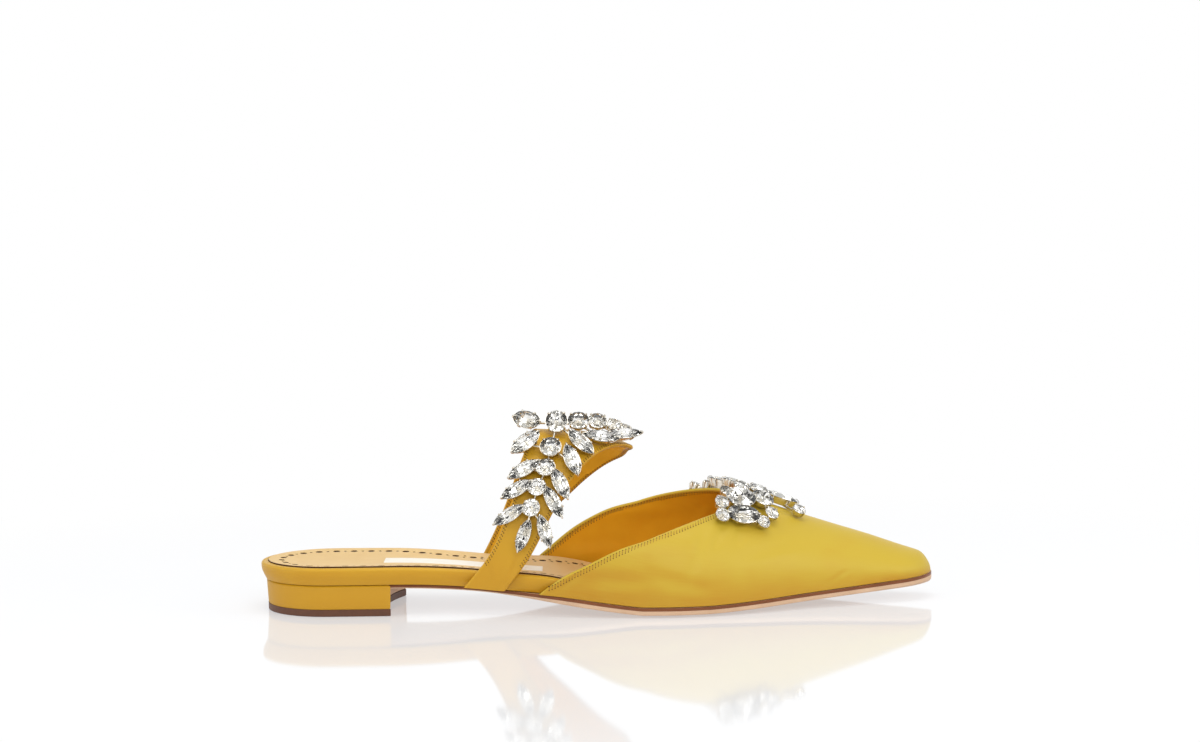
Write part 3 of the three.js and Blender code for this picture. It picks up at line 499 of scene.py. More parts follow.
foot = HEEL_INSET + HEEL_TAPER
heel_middle_height = lerp(TOP_LIFT_HEIGHT, SEAT_HEIGHT, 0.5)
heel_rings = [
    (heel_ring(foot + HEEL_EDGE * 0.4, -HEEL_EDGE * 0.4, CORNER_COVER), TOP_LIFT_HEIGHT),
    (heel_ring(foot, 0, CORNER_COVER), TOP_LIFT_HEIGHT + HEEL_EDGE),
    (heel_ring(lerp(foot, HEEL_INSET, 0.5), 0, CORNER_COVER), heel_middle_height),
    (heel_ring(HEEL_INSET, 0, CORNER_COVER), SEAT_HEIGHT - HEEL_EDGE),
    (heel_ring(HEEL_INSET + HEEL_EDGE, -HEEL_EDGE, CORNER_COVER), SEAT_HEIGHT),
]
heel_points, heel_faces = stacked_rings(heel_rings)
heel_uvs = np.concatenate([
    np.c_[ring_lengths(ring), np.full(len(ring), z)] for ring, z in heel_rings
])
heel = make_piece("heel_cover", heel_points, heel_faces, [satin_painted_shade], uvs=heel_uvs)
settle(heel, "yellow_satin", "heel")

# Top lift: the brown rubber that the heel wears out on, nailed and glued under the block and
# trimmed flush with its satin. It is cut clean, so its side is matt with fine grinding lines.
BREAST_COVER = 1.3
LIFT_JOINT = 0.02
LIFT_CHAMFER = 0.25
GRINDING_PITCH = 0.5

brown_rubber = new_material("ground_brown_rubber")
rubber = brown_rubber.node_tree
grit = noise(rubber, texture_place(rubber), 0.6 / MM, 3)
grinding = add_node(rubber, "ShaderNodeTexWave", {"bands_direction": "Z"}, {
    "Vector": texture_place(rubber), "Scale": WAVE_LENGTH / (GRINDING_PITCH * MM), "Distortion": 2,
})
ground = worked_out(rubber, "ADD", grit, grinding.outputs["Fac"])
finish_surface(rubber, {
    "Base Color": mixed(rubber, grit, "#4b2913", "#66391d"), "Roughness": 0.55, "IOR": 1.52,
    "Normal": bumped(rubber, ground, 0.3, 0.03),
})

lift_front = BREAST_COVER + FIT
lift_points, lift_faces = stacked_rings([
    (heel_ring(foot + LIFT_CHAMFER, lift_front - LIFT_CHAMFER), 0),
    (heel_ring(foot, lift_front), LIFT_CHAMFER),
    (heel_ring(foot, lift_front), TOP_LIFT_HEIGHT - LIFT_JOINT),
])
top_lift = make_piece("rubber_top_lift", lift_points, lift_faces, [brown_rubber])
settle(top_lift, "brown_rubber", "top_lift")

# Outsole: vegetable-tanned sole leather from the heel breast to the toe. Its edge is trimmed
# square, its upper half inked brown, and its tail is turned down over the front of the heel.
WAIST_INSET = 1.2
RIM_TUCK = 1.8
SOLE_EDGE = 0.3
SOLE_CROWN = 1
SOLE_CHAMFER = 0.35
SOLE_BEVEL = 0.1
TAIL_LENGTH = 10
BREAST_OVERRUN = 8
INKED_SHARE = 0.42
WAIST_INKED_SHARE = 0.72
FIRST_INKED_BELT = 3


def leather(name, dark_hex, light_hex, pore, roughness, relief):
    """Leather: closed pores and creases pore millimetres wide over a cloudy, dyed tone."""
    hide = new_material(name)
    tree = hide.node_tree
    cells = add_node(tree, "ShaderNodeTexVoronoi", {"feature": "DISTANCE_TO_EDGE"}, {
        "Vector": texture_place(tree), "Scale": 1 / (pore * MM),
    })
    fibres = noise(tree, texture_place(tree), 0.12 / MM, 6)
    grain = worked_out(tree, "MINIMUM", cells.outputs["Distance"], 0.25)
    finish_surface(tree, {
        "Base Color": mixed(tree, fibres, dark_hex, light_hex), "Roughness": roughness,
        "IOR": 1.48, "Specular IOR Level": 0.3, "Normal": bumped(tree, grain, relief, 0.12),
    })
    return hide


sole_leather = leather("oak_bark_sole_leather", "#bd9878", "#d8b799", 0.5, 0.5, 0.25)
brown_ink = leather("brown_inked_edge", "#6b3c20", "#834d2b", 0.4, 0.4, 0.2)


def sole_inset(x):
    forward = smoothstep(x, WAIST_FRONT, TREAD_BACK)
    return lerp(WAIST_INSET + RIM_TUCK, -(UPPER_WALL + SOLE_EDGE), forward)


def crown(share):
    """How far the sole's underside rises from its level middle to its edges."""
    level = 0.5
    return SOLE_CROWN * np.clip((np.abs(share) - level) / (1 - level), 0, None) ** 2


def inked_share(x):
    return lerp(WAIST_INKED_SHARE, INKED_SHARE, smoothstep(x, WAIST_FRONT, TREAD_BACK))


def plate(runs, across, layers):
    """Rows of points for a level piece: one grid for each layer of inset and height."""
    grids = []
    for inset, height in layers:
        x = run_to_x(runs)
        outer = edge_point(runs, -1, inset(x))
        inner = edge_point(runs, 1, inset(x))
        share = (across[None, :, None] + 1) / 2
        spots = lerp(outer[:, None], inner[:, None], share)
        z = height(spots[..., 0], np.broadcast_to(across, spots.shape[:2]))
        grids.append(np.concatenate([spots, z[..., None]], axis=-1))
    return grids


def plate_piece(grids):
    """Faces that close a plate: its first and last grid whole and a belt round the others. The
    list of kinds numbers the belts from 1, with 0 for both flat sides."""
    rows, columns = grids[0].shape[:2]
    size = rows * columns
    rim = np.concatenate([
        np.arange(rows) * columns,
        (rows - 1) * columns + np.arange(1, columns),
        (np.arange(rows - 2, -1, -1)) * columns + columns - 1,
        np.arange(columns - 2, 0, -1),
    ])
    following = np.roll(rim, -1)
    faces = [*grid_quads(rows, columns), *grid_quads(rows, columns, size * (len(grids) - 1))]
    kinds = [0] * len(faces)
    for k in range(len(grids) - 1):
        near, far = k * size, (k + 1) * size
        belt = np.stack([rim + near, following + near, following + far, rim + far], axis=-1)
        faces.extend(belt)
        kinds.extend([k + 1] * len(belt))
    return np.concatenate([grid.reshape(-1, 3) for grid in grids]), faces, kinds


def even(*stops):
    """Evenly spaced numbers through stops, given as start, count, next stop and so on."""
    spans = zip(stops[:-2:2], stops[1:-1:2], stops[2::2])
    return np.concatenate([*(np.linspace(a, b, n + 1)[:-1] for a, n, b in spans), stops[-1:]])


def joined(parts):
    """The points and faces of several meshes as those of one."""
    points, faces, start = [], [], 0
    for part_points, part_faces in parts:
        points.append(part_points)
        faces.extend([corner + start for corner in face] for face in part_faces)
        start += len(part_points)
    return np.concatenate(points), faces


sole_start = x_to_run(HEEL_LENGTH - TAIL_LENGTH)
sole_runs = even(
    sole_start, 80, x_to_run(BALL_BACK), 20, x_to_run(BALL_FRONT), 90, TOE_END - 6, 30, TOE_END,
)
sole_across = even(-1, 12, -0.5, 8, 0.5, 12, 1)
sole_grids = plate(sole_runs, sole_across, [
    (lambda x: sole_inset(x) + SOLE_CHAMFER, lambda x, share: underside(x) + crown(share)),
    (sole_inset, lambda x, share: underside(x) + crown(share) + SOLE_CHAMFER),
    (sole_inset, lambda x, share: lerp(sole_top(x), underside(x) + crown(share), inked_share(x))),
    (sole_inset, lambda x, share: sole_top(x) - SOLE_BEVEL),
    (lambda x: sole_inset(x) + 2 * SOLE_BEVEL, lambda x, share: sole_top(x)),
])
# The plate stops at the hollow breast: what lies behind the curve is drawn forward onto it. The
# curve is taken well past both sides of the heel.
breast = breast_curve(-BREAST_OVERRUN, FIT)
for grid in sole_grids:
    grid[..., 0] = np.maximum(grid[..., 0], np.interp(grid[..., 1], breast[::-1, 1], breast[::-1, 0]))
sole_points, sole_faces, sole_kinds = plate_piece(sole_grids)
inked = np.array(sole_kinds) >= FIRST_INKED_BELT

flap_inset = WAIST_INSET + RIM_TUCK + CORNER_COVER
flap_back = breast_curve(flap_inset, FIT)
flap_front = breast_curve(flap_inset, FIT + BREAST_COVER)[::-1]
flap_ring = np.concatenate([flap_back, flap_front])
flap_points, flap_faces = stacked_rings([
    (flap_ring, TOP_LIFT_HEIGHT + FIT),
    (flap_ring, SEAT_HEIGHT - WAIST_THICKNESS / 2),
])
outsole_points, outsole_faces = joined([(sole_points, sole_faces), (flap_points, flap_faces)])
outsole = make_piece(
    "leather_outsole", outsole_points, outsole_faces, [sole_leather, brown_ink],
    kinds=[*inked.astype(int), *[0] * len(flap_faces)],
)
settle(outsole, "sole_leather", "outsole")

# Footbed: a board cut to the foot's outline, thick under heel and waist and thin under the
# vamp. Satin is drawn tightly round its rim and pasted under it, with a soft upper edge.
FOOTBED_THICKNESS = 6.6
FOREPART_THICKNESS = 3
RIM_ROUND = 1.1
TOE_DRAW = 1.5
DRAW_LENGTH = 45
RIM_STEP = 0.4
FOOTBED_DISH = 1.5

# How far down the rim, as a share, and how far it is tucked in there.
RIM_TUCKS = [(0.9, 1.55), (0.7, 0.95), (0.45, 0.35), (0.25, 0.08)]


def footbed_top(x):
    forward = smoothstep(x, OUTER_WING, BALL_BACK)
    return sole_top(x) + FIT + lerp(FOOTBED_THICKNESS, FOREPART_THICKNESS, forward)


def footbed_dish(x, share):
    """How far the footbed sinks between its rims, under the foot from heel to waist."""
    return FOOTBED_DISH * (1 - share ** 2) * smoothstep(x, 0, 25) * (1 - smoothstep(x, 135, 165))


def toe_draw(x):
    return smoothstep(x, LAST_LENGTH - DRAW_LENGTH, LAST_LENGTH - NOSE_ROUND)


footbed_runs = even(0, 60, HEEL_ARC, 150, TOE_END - 12, 30, TOE_END)
footbed_across = even(-1, 6, -0.8, 16, 0.8, 6, 1)
footbed_layers = [(lambda x: np.full_like(x, FIT + RIM_TUCK), lambda x, share: sole_top(x) + FIT)]
for down, tuck in RIM_TUCKS:
    footbed_layers.append((
        lambda x, tuck=tuck: FIT + lerp(tuck, TOE_DRAW, toe_draw(x)),
        lambda x, share, down=down: lerp(footbed_top(x) - RIM_ROUND, sole_top(x) + FIT, down),
    ))
for angle in np.radians((0, 22, 45, 67, 90)):
    footbed_layers.append((
        lambda x, angle=angle: FIT + TOE_DRAW * toe_draw(x) + RIM_ROUND * (1 - math.cos(angle)),
        lambda x, share, angle=angle: footbed_top(x) - RIM_ROUND * (1 - math.sin(angle)),
    ))
footbed_layers.append((
    lambda x: FIT + TOE_DRAW * toe_draw(x) + RIM_ROUND + RIM_STEP,
    lambda x, share: footbed_top(x) - footbed_dish(x, share) * smoothstep(1 - np.abs(share), 0, 0.05),
))
footbed_grids = plate(footbed_runs, footbed_across, footbed_layers)
footbed_points, footbed_faces, _ = plate_piece(footbed_grids)
footbed_uvs = np.concatenate([
    np.stack(np.broadcast_arrays(footbed_runs[:, None], grid[..., 1] + grid[..., 2]), -1).reshape(-1, 2)
    for grid in footbed_grids
])
footbed = make_piece(
    "satin_footbed", footbed_points, footbed_faces, [satin_painted_shade], uvs=footbed_uvs, sharp_angle=50,
)
settle(footbed, "yellow_satin", "footbed")

# Sock: thin kid leather pasted over the footbed, its cut edge dark brown. A row of punched slots with
# pairs of pinholes between them runs round it, a few millimetres inside its edge; the walls and floors
# of the holes are dark brown, painted shade.
SOCK_FACE = 0.45
SOCK_INSET = 2.6
SOCK_DRAW = 2.4
SOCK_SUNK = 0.1
SOCK_BEVEL_DEPTH = 0.15
SOCK_BEVEL_WIDTH = 0.2
PUNCH_SPACING = 6.9
PUNCH_INSET = 7.8
WAIST_PUNCH_INSET = 10.5
SLOT_LENGTH = 2.7
SLOT_WIDTH = 2.3
PINHOLE = 1.1
PINHOLE_APART = 2.4
PAIRS_START = 75
PUNCH_DEPTH = 0.25
PUNCH_CLEARANCE = 0.5
PUNCH_START = 2
PUNCH_END = 150

kid_leather = leather("nude_kid_leather", "#dab577", "#e6c589", 0.35, 0.5, 0.12)
# Dark brown for the sock's cut edge, and painted shade inside the punched holes and the needle holes.
dark_edge_and_hole_shade = leather("dark_brown_edge_and_hole_shade", "#3a200d", "#4f2e15", 0.3, 0.6, 0.2)


def sock_inset(x):
    return FIT + SOCK_INSET + SOCK_DRAW * toe_draw(x)


def sock_height(x, share=0):
    return footbed_top(x) + SOCK_FACE - footbed_dish(x, share)


sock_points, sock_faces, sock_kinds = plate_piece(plate(footbed_runs, footbed_across, [
    (sock_inset, lambda x, share: sock_height(x, share) - SOCK_FACE - SOCK_SUNK),
    (sock_inset, lambda x, share: sock_height(x, share) - SOCK_BEVEL_DEPTH),
    (lambda x: sock_inset(x) + SOCK_BEVEL_WIDTH, sock_height),
]))
sock = make_piece(
    "kid_sock", sock_points, sock_faces, [kid_leather, dark_edge_and_hole_shade],
    kinds=[int(kind > 0) for kind in sock_kinds],
)


def interpolated(places, keys, rows):
    """Rows of coordinates at places between their keys."""
    return np.stack([np.interp(places, keys, column) for column in rows.T], axis=-1)


def punch_row(side):
    """Plan points and directions of the punched row, evenly spaced along one side."""
    runs = np.linspace(PUNCH_START, x_to_run(PUNCH_END), 1200)
    x = run_to_x(runs)
    waist = smoothstep(x, 50, 80) * (1 - smoothstep(x, 105, 140))
    line = edge_point(runs, side, lerp(PUNCH_INSET, WAIST_PUNCH_INSET, waist) + FIT)
    length = ring_lengths(line)
    places = interpolated(np.arange(PUNCH_SPACING / 4, length[-1], PUNCH_SPACING / 2), length, line)
    return places, unit(np.gradient(places, axis=0))


def prism(centre, along, half_long, half_wide, sides):
    """A short upright tube with a rounded oblong outline, down into the sock from above it."""
    angles = np.arange(sides) * 2 * math.pi / sides
    across = np.array([-along[1], along[0]])
    reach = half_long - half_wide
    ring = np.array([
        centre + along * (half_wide * math.cos(a) + math.copysign(reach, math.cos(a)))
        + across * half_wide * math.sin(a) for a in angles
    ])
    outer, inner = (float(last_point(centre[0], side)[1]) for side in (-1, 1))
    share = (2 * centre[1] - outer - inner) / (inner - outer - 2 * float(sock_inset(centre[0])))
    skin = float(sock_height(centre[0], share))
    return stacked_rings([(ring, skin - PUNCH_DEPTH), (ring, skin + PUNCH_CLEARANCE)])


punched = []
for side in (-1, 1):
    for number, (centre, along) in enumerate(zip(*punch_row(side))):
        if number % 2 == 0:
            punched.append(prism(centre, along, SLOT_LENGTH / 2, SLOT_WIDTH / 2, 14))
            continue
        across = np.array([-along[1], along[0]])
        apart = PINHOLE_APART if centre[0] > PAIRS_START else 0
        for offset in sorted({-apart / 2, apart / 2}):
            punched.append(prism(centre + across * offset, along, PINHOLE / 2, PINHOLE / 2, 8))
punch_points, punch_faces = joined(punched)
# Every face of the punches takes the dark brown: painted shade on the walls and floors of the holes.
punches = make_piece(
    "punches", punch_points, punch_faces, [kid_leather, dark_edge_and_hole_shade], kinds=[1] * len(punch_faces),
)
holes = sock.modifiers.new("punched", "BOOLEAN")
holes.object = punches
holes.solver = "EXACT"
bpy.context.view_layer.update()
shown = sock.evaluated_get(bpy.context.evaluated_depsgraph_get())
punched_mesh = bpy.data.meshes.new_from_object(shown)
sock.modifiers.clear()
sock.data = punched_mesh
bpy.data.objects.remove(punches)
settle(sock, "sock_leather", "sock")

# Label: a blank woven ribbon with a satin face, its ends turned under, pasted onto the sock.
LABEL_LENGTH = 61
LABEL_WIDTH = 11.5
LABEL_THICKNESS = 0.4
LABEL_ROUND = 0.4
LABEL_SUNK = 0.2
LABEL_START = 48
LABEL_BACK_SHIFT = 1.5
LABEL_FRONT_SHIFT = 4

white_ribbon = woven_satin("white_ribbon_satin", "#e4dfd4", "#efebe2")
label_x = np.linspace(LABEL_START, LABEL_START + LABEL_LENGTH, 80)
label_middle = -lerp(LABEL_BACK_SHIFT, LABEL_FRONT_SHIFT, (label_x - LABEL_START) / LABEL_LENGTH)
label_across = np.array([-1, -0.985, -0.95, -0.9, -0.5, 0, 0.5, 0.9, 0.95, 0.985, 1])
label_y = label_middle[:, None] + label_across * LABEL_WIDTH / 2
to_edge = (1 - np.abs(label_across)) * LABEL_WIDTH / 2
label_round = np.sqrt(np.clip(1 - (1 - np.clip(to_edge / LABEL_ROUND, 0, 1)) ** 2, 0, 1))
label_base = sock_height(label_x)[:, None]
label_top = np.stack(np.broadcast_arrays(
    label_x[:, None], label_y, label_base + LABEL_THICKNESS * label_round,
), -1)
label_low = label_top.copy()
label_low[..., 2] = label_base - LABEL_SUNK
label_points, label_faces, _ = plate_piece([label_low, label_top])
label_uvs = np.tile(label_top[..., :2].reshape(-1, 2), (2, 1))
label = make_piece(
    "ribbon_label", label_points, label_faces, [white_ribbon], uvs=label_uvs, sharp_angle=60,
)
settle(label, "white_ribbon", "label")

# Vamp: satin over a thin stiffener, lined with yellow kid leather. It is drawn over the last
# and pasted between footbed and outsole, and its top edge is folded over and stitched.
VAMP_LENGTH = 77
RIB_COUNT = 110
TIP_SHARE = 0.8
FIRST_RIB = 0.025
FOLD_ROUND = 0.8
HELD_EDGE = 4
HELD_FOOT = 0.06
FOLDED_IN = 1.5
STITCH_INSET = 2.1
STITCH_SPACING = 1.25
STITCH_LENGTH = 1.5
STITCH_THICKNESS = 0.36
STITCH_SLANT = 62
STITCH_SIDES = 6
STITCH_SINK = 0.12
THREAD_TWIST = 0.2
NEEDLE_HOLE = 1.24 * STITCH_THICKNESS
HOLE_DEPTH = 0.25
HOLE_RISE = 0.03

# Half of a stitch's length and of its thickness, as shares, at each of its rings.
STITCH_RINGS = [(-1, 0), (-0.75, 0.75), (-0.3, 1), (0.3, 1), (0.75, 0.75), (1, 0)]

# Reach from the wing's back corner (0) to the throat (1), then the turn round the last on the
# outer and the inner side: 1 at the sole, 0 on the ridge.
TOPLINE = np.array([
    (0, 1, 1),
    (0.12, 0.918, 0.905),
    (0.25, 0.850, 0.800),
    (0.40, 0.765, 0.700),
    (0.55, 0.683, 0.605),
    (0.70, 0.577, 0.475),
    (0.82, 0.475, 0.345),
    (0.92, 0.365, 0.200),
    (0.97, 0.240, 0.105),
    (1, 0, 0),
])

# Main creases of the vamp: place, turn round the last, heading of the crease from the toe
# direction towards the inner side, half length, half width and depth.
VAMP_GIRTH = 48
VAMP_CREASES = [
    (154, -0.615, 13, 15, 3.6, 0.42),
    (176, -0.560, 62, 6, 2.0, 0.34),
    (183, -0.500, 84, 6, 1.8, 0.28),
    (167, -0.720, 70, 7, 2.6, 0.24),
    (137, -0.900, 4, 12, 2.2, 0.26),
    (160, -0.880, -6, 12, 2.6, 0.22),
    (196, -0.620, 18, 12, 3.4, 0.20),
    (118, -0.950, 32, 5, 1.3, 0.24),
    (222, -0.860, 40, 5, 1.6, 0.12),
    (148, 0.640, -13, 14, 3.6, 0.40),
    (172, 0.600, -60, 7, 2.2, 0.30),
    (130, 0.900, -6, 12, 2.2, 0.26),
    (165, 0.860, 8, 12, 2.8, 0.22),
    (200, 0.600, -20, 11, 3.2, 0.18),
]

lining = leather("yellow_kid_lining", "#d9960a", "#e6aa1c", 0.35, 0.6, 0.1)
# Sewing thread that matches the satin, coloured darker: painted shade of the sunken stitches.
thread_painted_dark = new_material("mustard_thread_painted_shade")
thread = thread_painted_dark.node_tree
twist = add_node(thread, "ShaderNodeTexWave", {"bands_direction": "DIAGONAL"}, {
    "Vector": texture_place(thread), "Scale": WAVE_LENGTH / (THREAD_TWIST * MM),
})
finish_surface(thread, {
    "Base Color": mixed(thread, twist.outputs["Fac"], "#8f6412", "#b3841f"),
    "Roughness": 0.6, "IOR": 1.5,
})


def skin_normals(grid):
    """Averaged normals of a grid of points, pointing away from the foot."""
    rows, columns = grid.shape[:2]
    flat = grid.reshape(-1, 3)
    _, same = np.unique(np.round(flat, 3), axis=0, return_inverse=True)
    same = same.reshape(-1)
    quads = grid_quads(rows, columns)
    sums = np.zeros((same.max() + 1, 3))
    for a, b, c in ((0, 1, 2), (0, 2, 3)):
        tilt = np.cross(flat[quads[:, b]] - flat[quads[:, a]], flat[quads[:, c]] - flat[quads[:, a]])
        for corner in (a, b, c):
            np.add.at(sums, same[quads[:, corner]], tilt)
    normals = unit(sums[same]).reshape(grid.shape)
    return normals * np.sign(normals[rows // 2, columns // 2, 2])


def nearest(grid, *edges):
    """Distance of each point of a grid from the nearest of its points on the given edges."""
    return np.min([np.linalg.norm(grid - edge, axis=-1) for edge in edges], axis=0)


def creased(chart, girth, creases):
    """How deep the satin lies in each crease, a soft valley between two low ridges."""
    depth = np.zeros(chart.shape[:2])
    for x, turn, heading, long, wide, deep in creases:
        angle = math.radians(heading)
        away = chart - (x, turn * girth)
        along = (away[..., 0] * math.cos(angle) + away[..., 1] * math.sin(angle)) / long
        across = (away[..., 1] * math.cos(angle) - away[..., 0] * math.sin(angle)) / wide
        depth += deep * np.exp(-along ** 4) * (1 - 2 * across ** 2) * np.exp(-across ** 2)
    return depth


def folded_wall(name, materials, x, turn, wall, girth, to_fold, rim, creases):
    """A curved wall over the last with rounded, folded edges. girth is the satin's length over
    one unit of turn, to_fold is each point's distance to the nearest folded edge, and rim marks
    the points that stand on the sole."""
    chart = np.stack([x, turn * girth], axis=-1)
    held = smoothstep(to_fold, 0, HELD_EDGE) * smoothstep(1 - np.abs(turn), 0, HELD_FOOT)
    sunk = (creased(chart, girth, creases) * held)[..., None]
    inside = last_point(x, turn)
    normals = skin_normals(inside)
    normals = np.where(rim[..., None], unit(normals * (1, 1, 0)), normals)
    round_off = 1 - np.clip(to_fold / FOLD_ROUND, 0, 1)
    thick = np.sqrt(np.clip(1 - round_off ** 2, 0, 1))[..., None]
    middle = inside + normals * (wall / 2 - sunk)
    outer = middle + normals * wall / 2 * thick
    inner = middle - normals * wall / 2 * thick
    quads = grid_quads(*x.shape)
    lined = np.min(to_fold.ravel()[quads], axis=1) > FOLDED_IN
    pairs = np.stack([quads, np.roll(quads, -1, axis=1)], axis=-1).reshape(-1, 2)
    a, b = pairs[rim.ravel()[pairs].all(axis=1)].T
    foot_faces = np.stack([a, b, b + x.size, a + x.size], axis=-1)
    piece = make_piece(
        name, np.concatenate([outer.reshape(-1, 3), inner.reshape(-1, 3)]),
        [*quads, *(quads + x.size), *foot_faces], materials,
        kinds=[*[0] * len(quads), *lined.astype(int), *[0] * len(foot_faces)],
        uvs=np.tile(chart.reshape(-1, 2), (2, 1)), sharp_angle=50, weld=0.004,
    )
    return piece, outer, inner, normals


def vamp_rib(side, share, steps):
    """Places on one rib of the vamp, from its top edge (step 0) to the sole (step 1). The ribs
    run from the wing (share 0) to the throat (share 1) and crowd towards the wing. The foremost
    of them all run together in the toe tip."""
    wing = OUTER_WING if side < 0 else INNER_WING
    eased_share = lerp(FIRST_RIB, 1, share)
    reach = 1 - (1 - eased_share) ** 2
    top = lerp(wing, LENGTH - VAMP_LENGTH, reach)
    turn = smooth(TOPLINE, 1 if side < 0 else 2, reach)
    foot_share = min(1, share / TIP_SHARE)
    foot_run = lerp(x_to_run(wing), TOE_END, 1 - (1 - foot_share) ** 1.5)
    foot_turn = min(1, (1 - share) / (1 - TIP_SHARE))
    x = run_to_x(lerp(x_to_run(top), foot_run, steps))
    return x, np.where(share == 1, 0, side * lerp(turn, foot_turn, steps))


rib_shares = np.r_[0, 0.0003, 0.0012, 0.0028, 0.005, np.linspace(0.01, 1, RIB_COUNT)]
rib_steps = np.r_[0, 0.0008, 0.003, 0.007, 0.012, 0.018, np.linspace(0.03, 1, 64)]
ribs = [vamp_rib(-1, share, rib_steps) for share in rib_shares]
ribs += [vamp_rib(1, share, rib_steps) for share in rib_shares[-2::-1]]
vamp_x = np.array([rib[0] for rib in ribs])
vamp_turn = np.array([rib[1] for rib in ribs])
vamp_grid = last_point(vamp_x, vamp_turn)
vamp_rim = np.zeros(vamp_x.shape, dtype=bool)
vamp_rim[:, -1] = True
vamp, vamp_skin, vamp_inside, vamp_normals = folded_wall(
    "satin_vamp", [mustard_satin, lining], vamp_x, vamp_turn, UPPER_WALL, VAMP_GIRTH,
    nearest(vamp_grid, vamp_grid[:, :1], vamp_grid[:1], vamp_grid[-1:]), vamp_rim, VAMP_CREASES,
)
settle(vamp, "yellow_satin", "vamp")


def stitch_row(name, line, normals, stitch_length=STITCH_LENGTH):
    """Short slanting stitches along a line of points on the satin, each a sunken oval of thread with a
    needle hole at both ends. The needle holes are small dark brown pits: painted shade."""
    length = ring_lengths(line)
    spots = np.arange(STITCH_SPACING, length[-1] - STITCH_SPACING / 2, STITCH_SPACING)
    places = interpolated(spots, length, line)
    ups = unit(interpolated(spots, length, normals))
    along = unit(np.gradient(places, axis=0))
    slant = math.radians(STITCH_SLANT)
    lays = along * math.cos(slant) + unit(np.cross(ups, along)) * math.sin(slant)
    angles = np.arange(STITCH_SIDES) * 2 * math.pi / STITCH_SIDES
    turns = np.stack([np.cos(angles), np.sin(angles)], axis=-1)
    body_faces = tube_faces(STITCH_SIDES, len(STITCH_RINGS))[:-2]
    hole_faces = tube_faces(STITCH_SIDES, 2)
    parts, kinds = [], []
    for place, up, lay in zip(places, ups, lays):
        side = unit(np.cross(up, lay))
        body = [
            place + lay * reach * stitch_length / 2 - up * STITCH_SINK * abs(reach)
            + turns @ np.array([side, up]) * fat * STITCH_THICKNESS / 2
            for reach, fat in STITCH_RINGS
        ]
        parts.append((np.concatenate(body), body_faces))
        kinds += [0] * len(body_faces)
        for end in (-1, 1):
            centre = place + lay * end * stitch_length / 2
            mouth = centre + turns @ np.array([lay, side]) * NEEDLE_HOLE / 2
            hole = np.concatenate([mouth - up * HOLE_DEPTH, mouth + up * HOLE_RISE])
            parts.append((hole, hole_faces))
            kinds += [1] * len(hole_faces)
    return make_piece(name, *joined(parts), [thread_painted_dark, dark_edge_and_hole_shade], kinds=kinds, weld=0.0001)


def inside_edge(skin, normals, distance):
    """The line on a skin that runs at a distance from its first column, and its normals."""
    lengths = [ring_lengths(row) for row in skin]
    return [
        np.array([interpolated(distance, length, row) for length, row in zip(lengths, rows)])
        for rows in (skin, normals)
    ]


for name, skin, away in (
    ("vamp_outside_stitches", vamp_skin, 1),
    ("vamp_lining_stitches", vamp_inside, -1),
):
    seam = inside_edge(skin[3:-3], vamp_normals[3:-3] * away, STITCH_INSET)
    settle(stitch_row(name, *seam), "yellow_satin")

# Strap: a satin band over the instep, lined like the vamp, with folded and stitched edges. Its
# ends are pasted between footbed and outsole. It is broadest on the ridge, where it ends in a
# blunt point towards the toe.
STRAP_WALL = 1.6
STRAP_WIDTH = 15.3
STRAP_STITCH_INSET = 1.5
STRAP_STITCH_LENGTH = 0.8

# Turn round the last, middle as a share of its length, width as a share of the strap's.
STRAP = np.array([
    (-1, 0.3365, 1.02),
    (-0.85, 0.374, 1.00),
    (-0.68, 0.4015, 1.05),
    (-0.5, 0.4245, 1.22),
    (-0.3, 0.447, 1.74),
    (-0.1, 0.4705, 2.27),
    (0.04, 0.482, 2.48),
    (0.16, 0.4785, 2.47),
    (0.32, 0.468, 2.38),
    (0.6, 0.4225, 1.65),
    (0.8, 0.381, 1.07),
    (1, 0.345, 0.97),
])
# The strap's kid lining is paler than the vamp's, and its creases are given like the vamp's.
strap_lining = leather("pale_yellow_kid_lining", "#dea51c", "#ebb934", 0.35, 0.6, 0.1)
STRAP_GIRTH = 60
STRAP_CREASES = [
    (98, -0.925, 62, 5, 1.3, 0.26),
    (90, -0.935, 100, 4, 1.2, 0.20),
    (106, -0.640, 76, 9, 2.8, 0.24),
    (121, -0.330, 58, 8, 3.0, 0.22),
    (119, 0.300, -40, 8, 3.0, 0.28),
    (107, 0.660, -70, 9, 2.6, 0.24),
    (92, 0.925, -60, 5, 1.3, 0.24),
]

strap_turn = np.linspace(-1, 1, 161)
strap_middle = smooth(STRAP, 1, strap_turn) * LAST_LENGTH
strap_broad = smooth(STRAP, 2, strap_turn) * STRAP_WIDTH
strap_fold = np.array([0, 0.002, 0.008, 0.018, 0.032, 0.05])
strap_shares = np.r_[strap_fold, np.linspace(0.08, 0.92, 30), 1 - strap_fold[::-1]]
strap_x = strap_middle[:, None] + (strap_shares - 0.5) * strap_broad[:, None]
strap_turns = np.broadcast_to(strap_turn[:, None], strap_x.shape)
strap_grid = last_point(strap_x, strap_turns)
strap_rim = np.zeros(strap_x.shape, dtype=bool)
strap_rim[[0, -1]] = True
strap, strap_skin, strap_inside, strap_normals = folded_wall(
    "satin_strap", [satin_painted_shade, strap_lining], strap_x, strap_turns, STRAP_WALL, STRAP_GIRTH,
    nearest(strap_grid, strap_grid[:, :1], strap_grid[:, -1:]), strap_rim, STRAP_CREASES,
)
settle(strap, "yellow_satin", "strap")

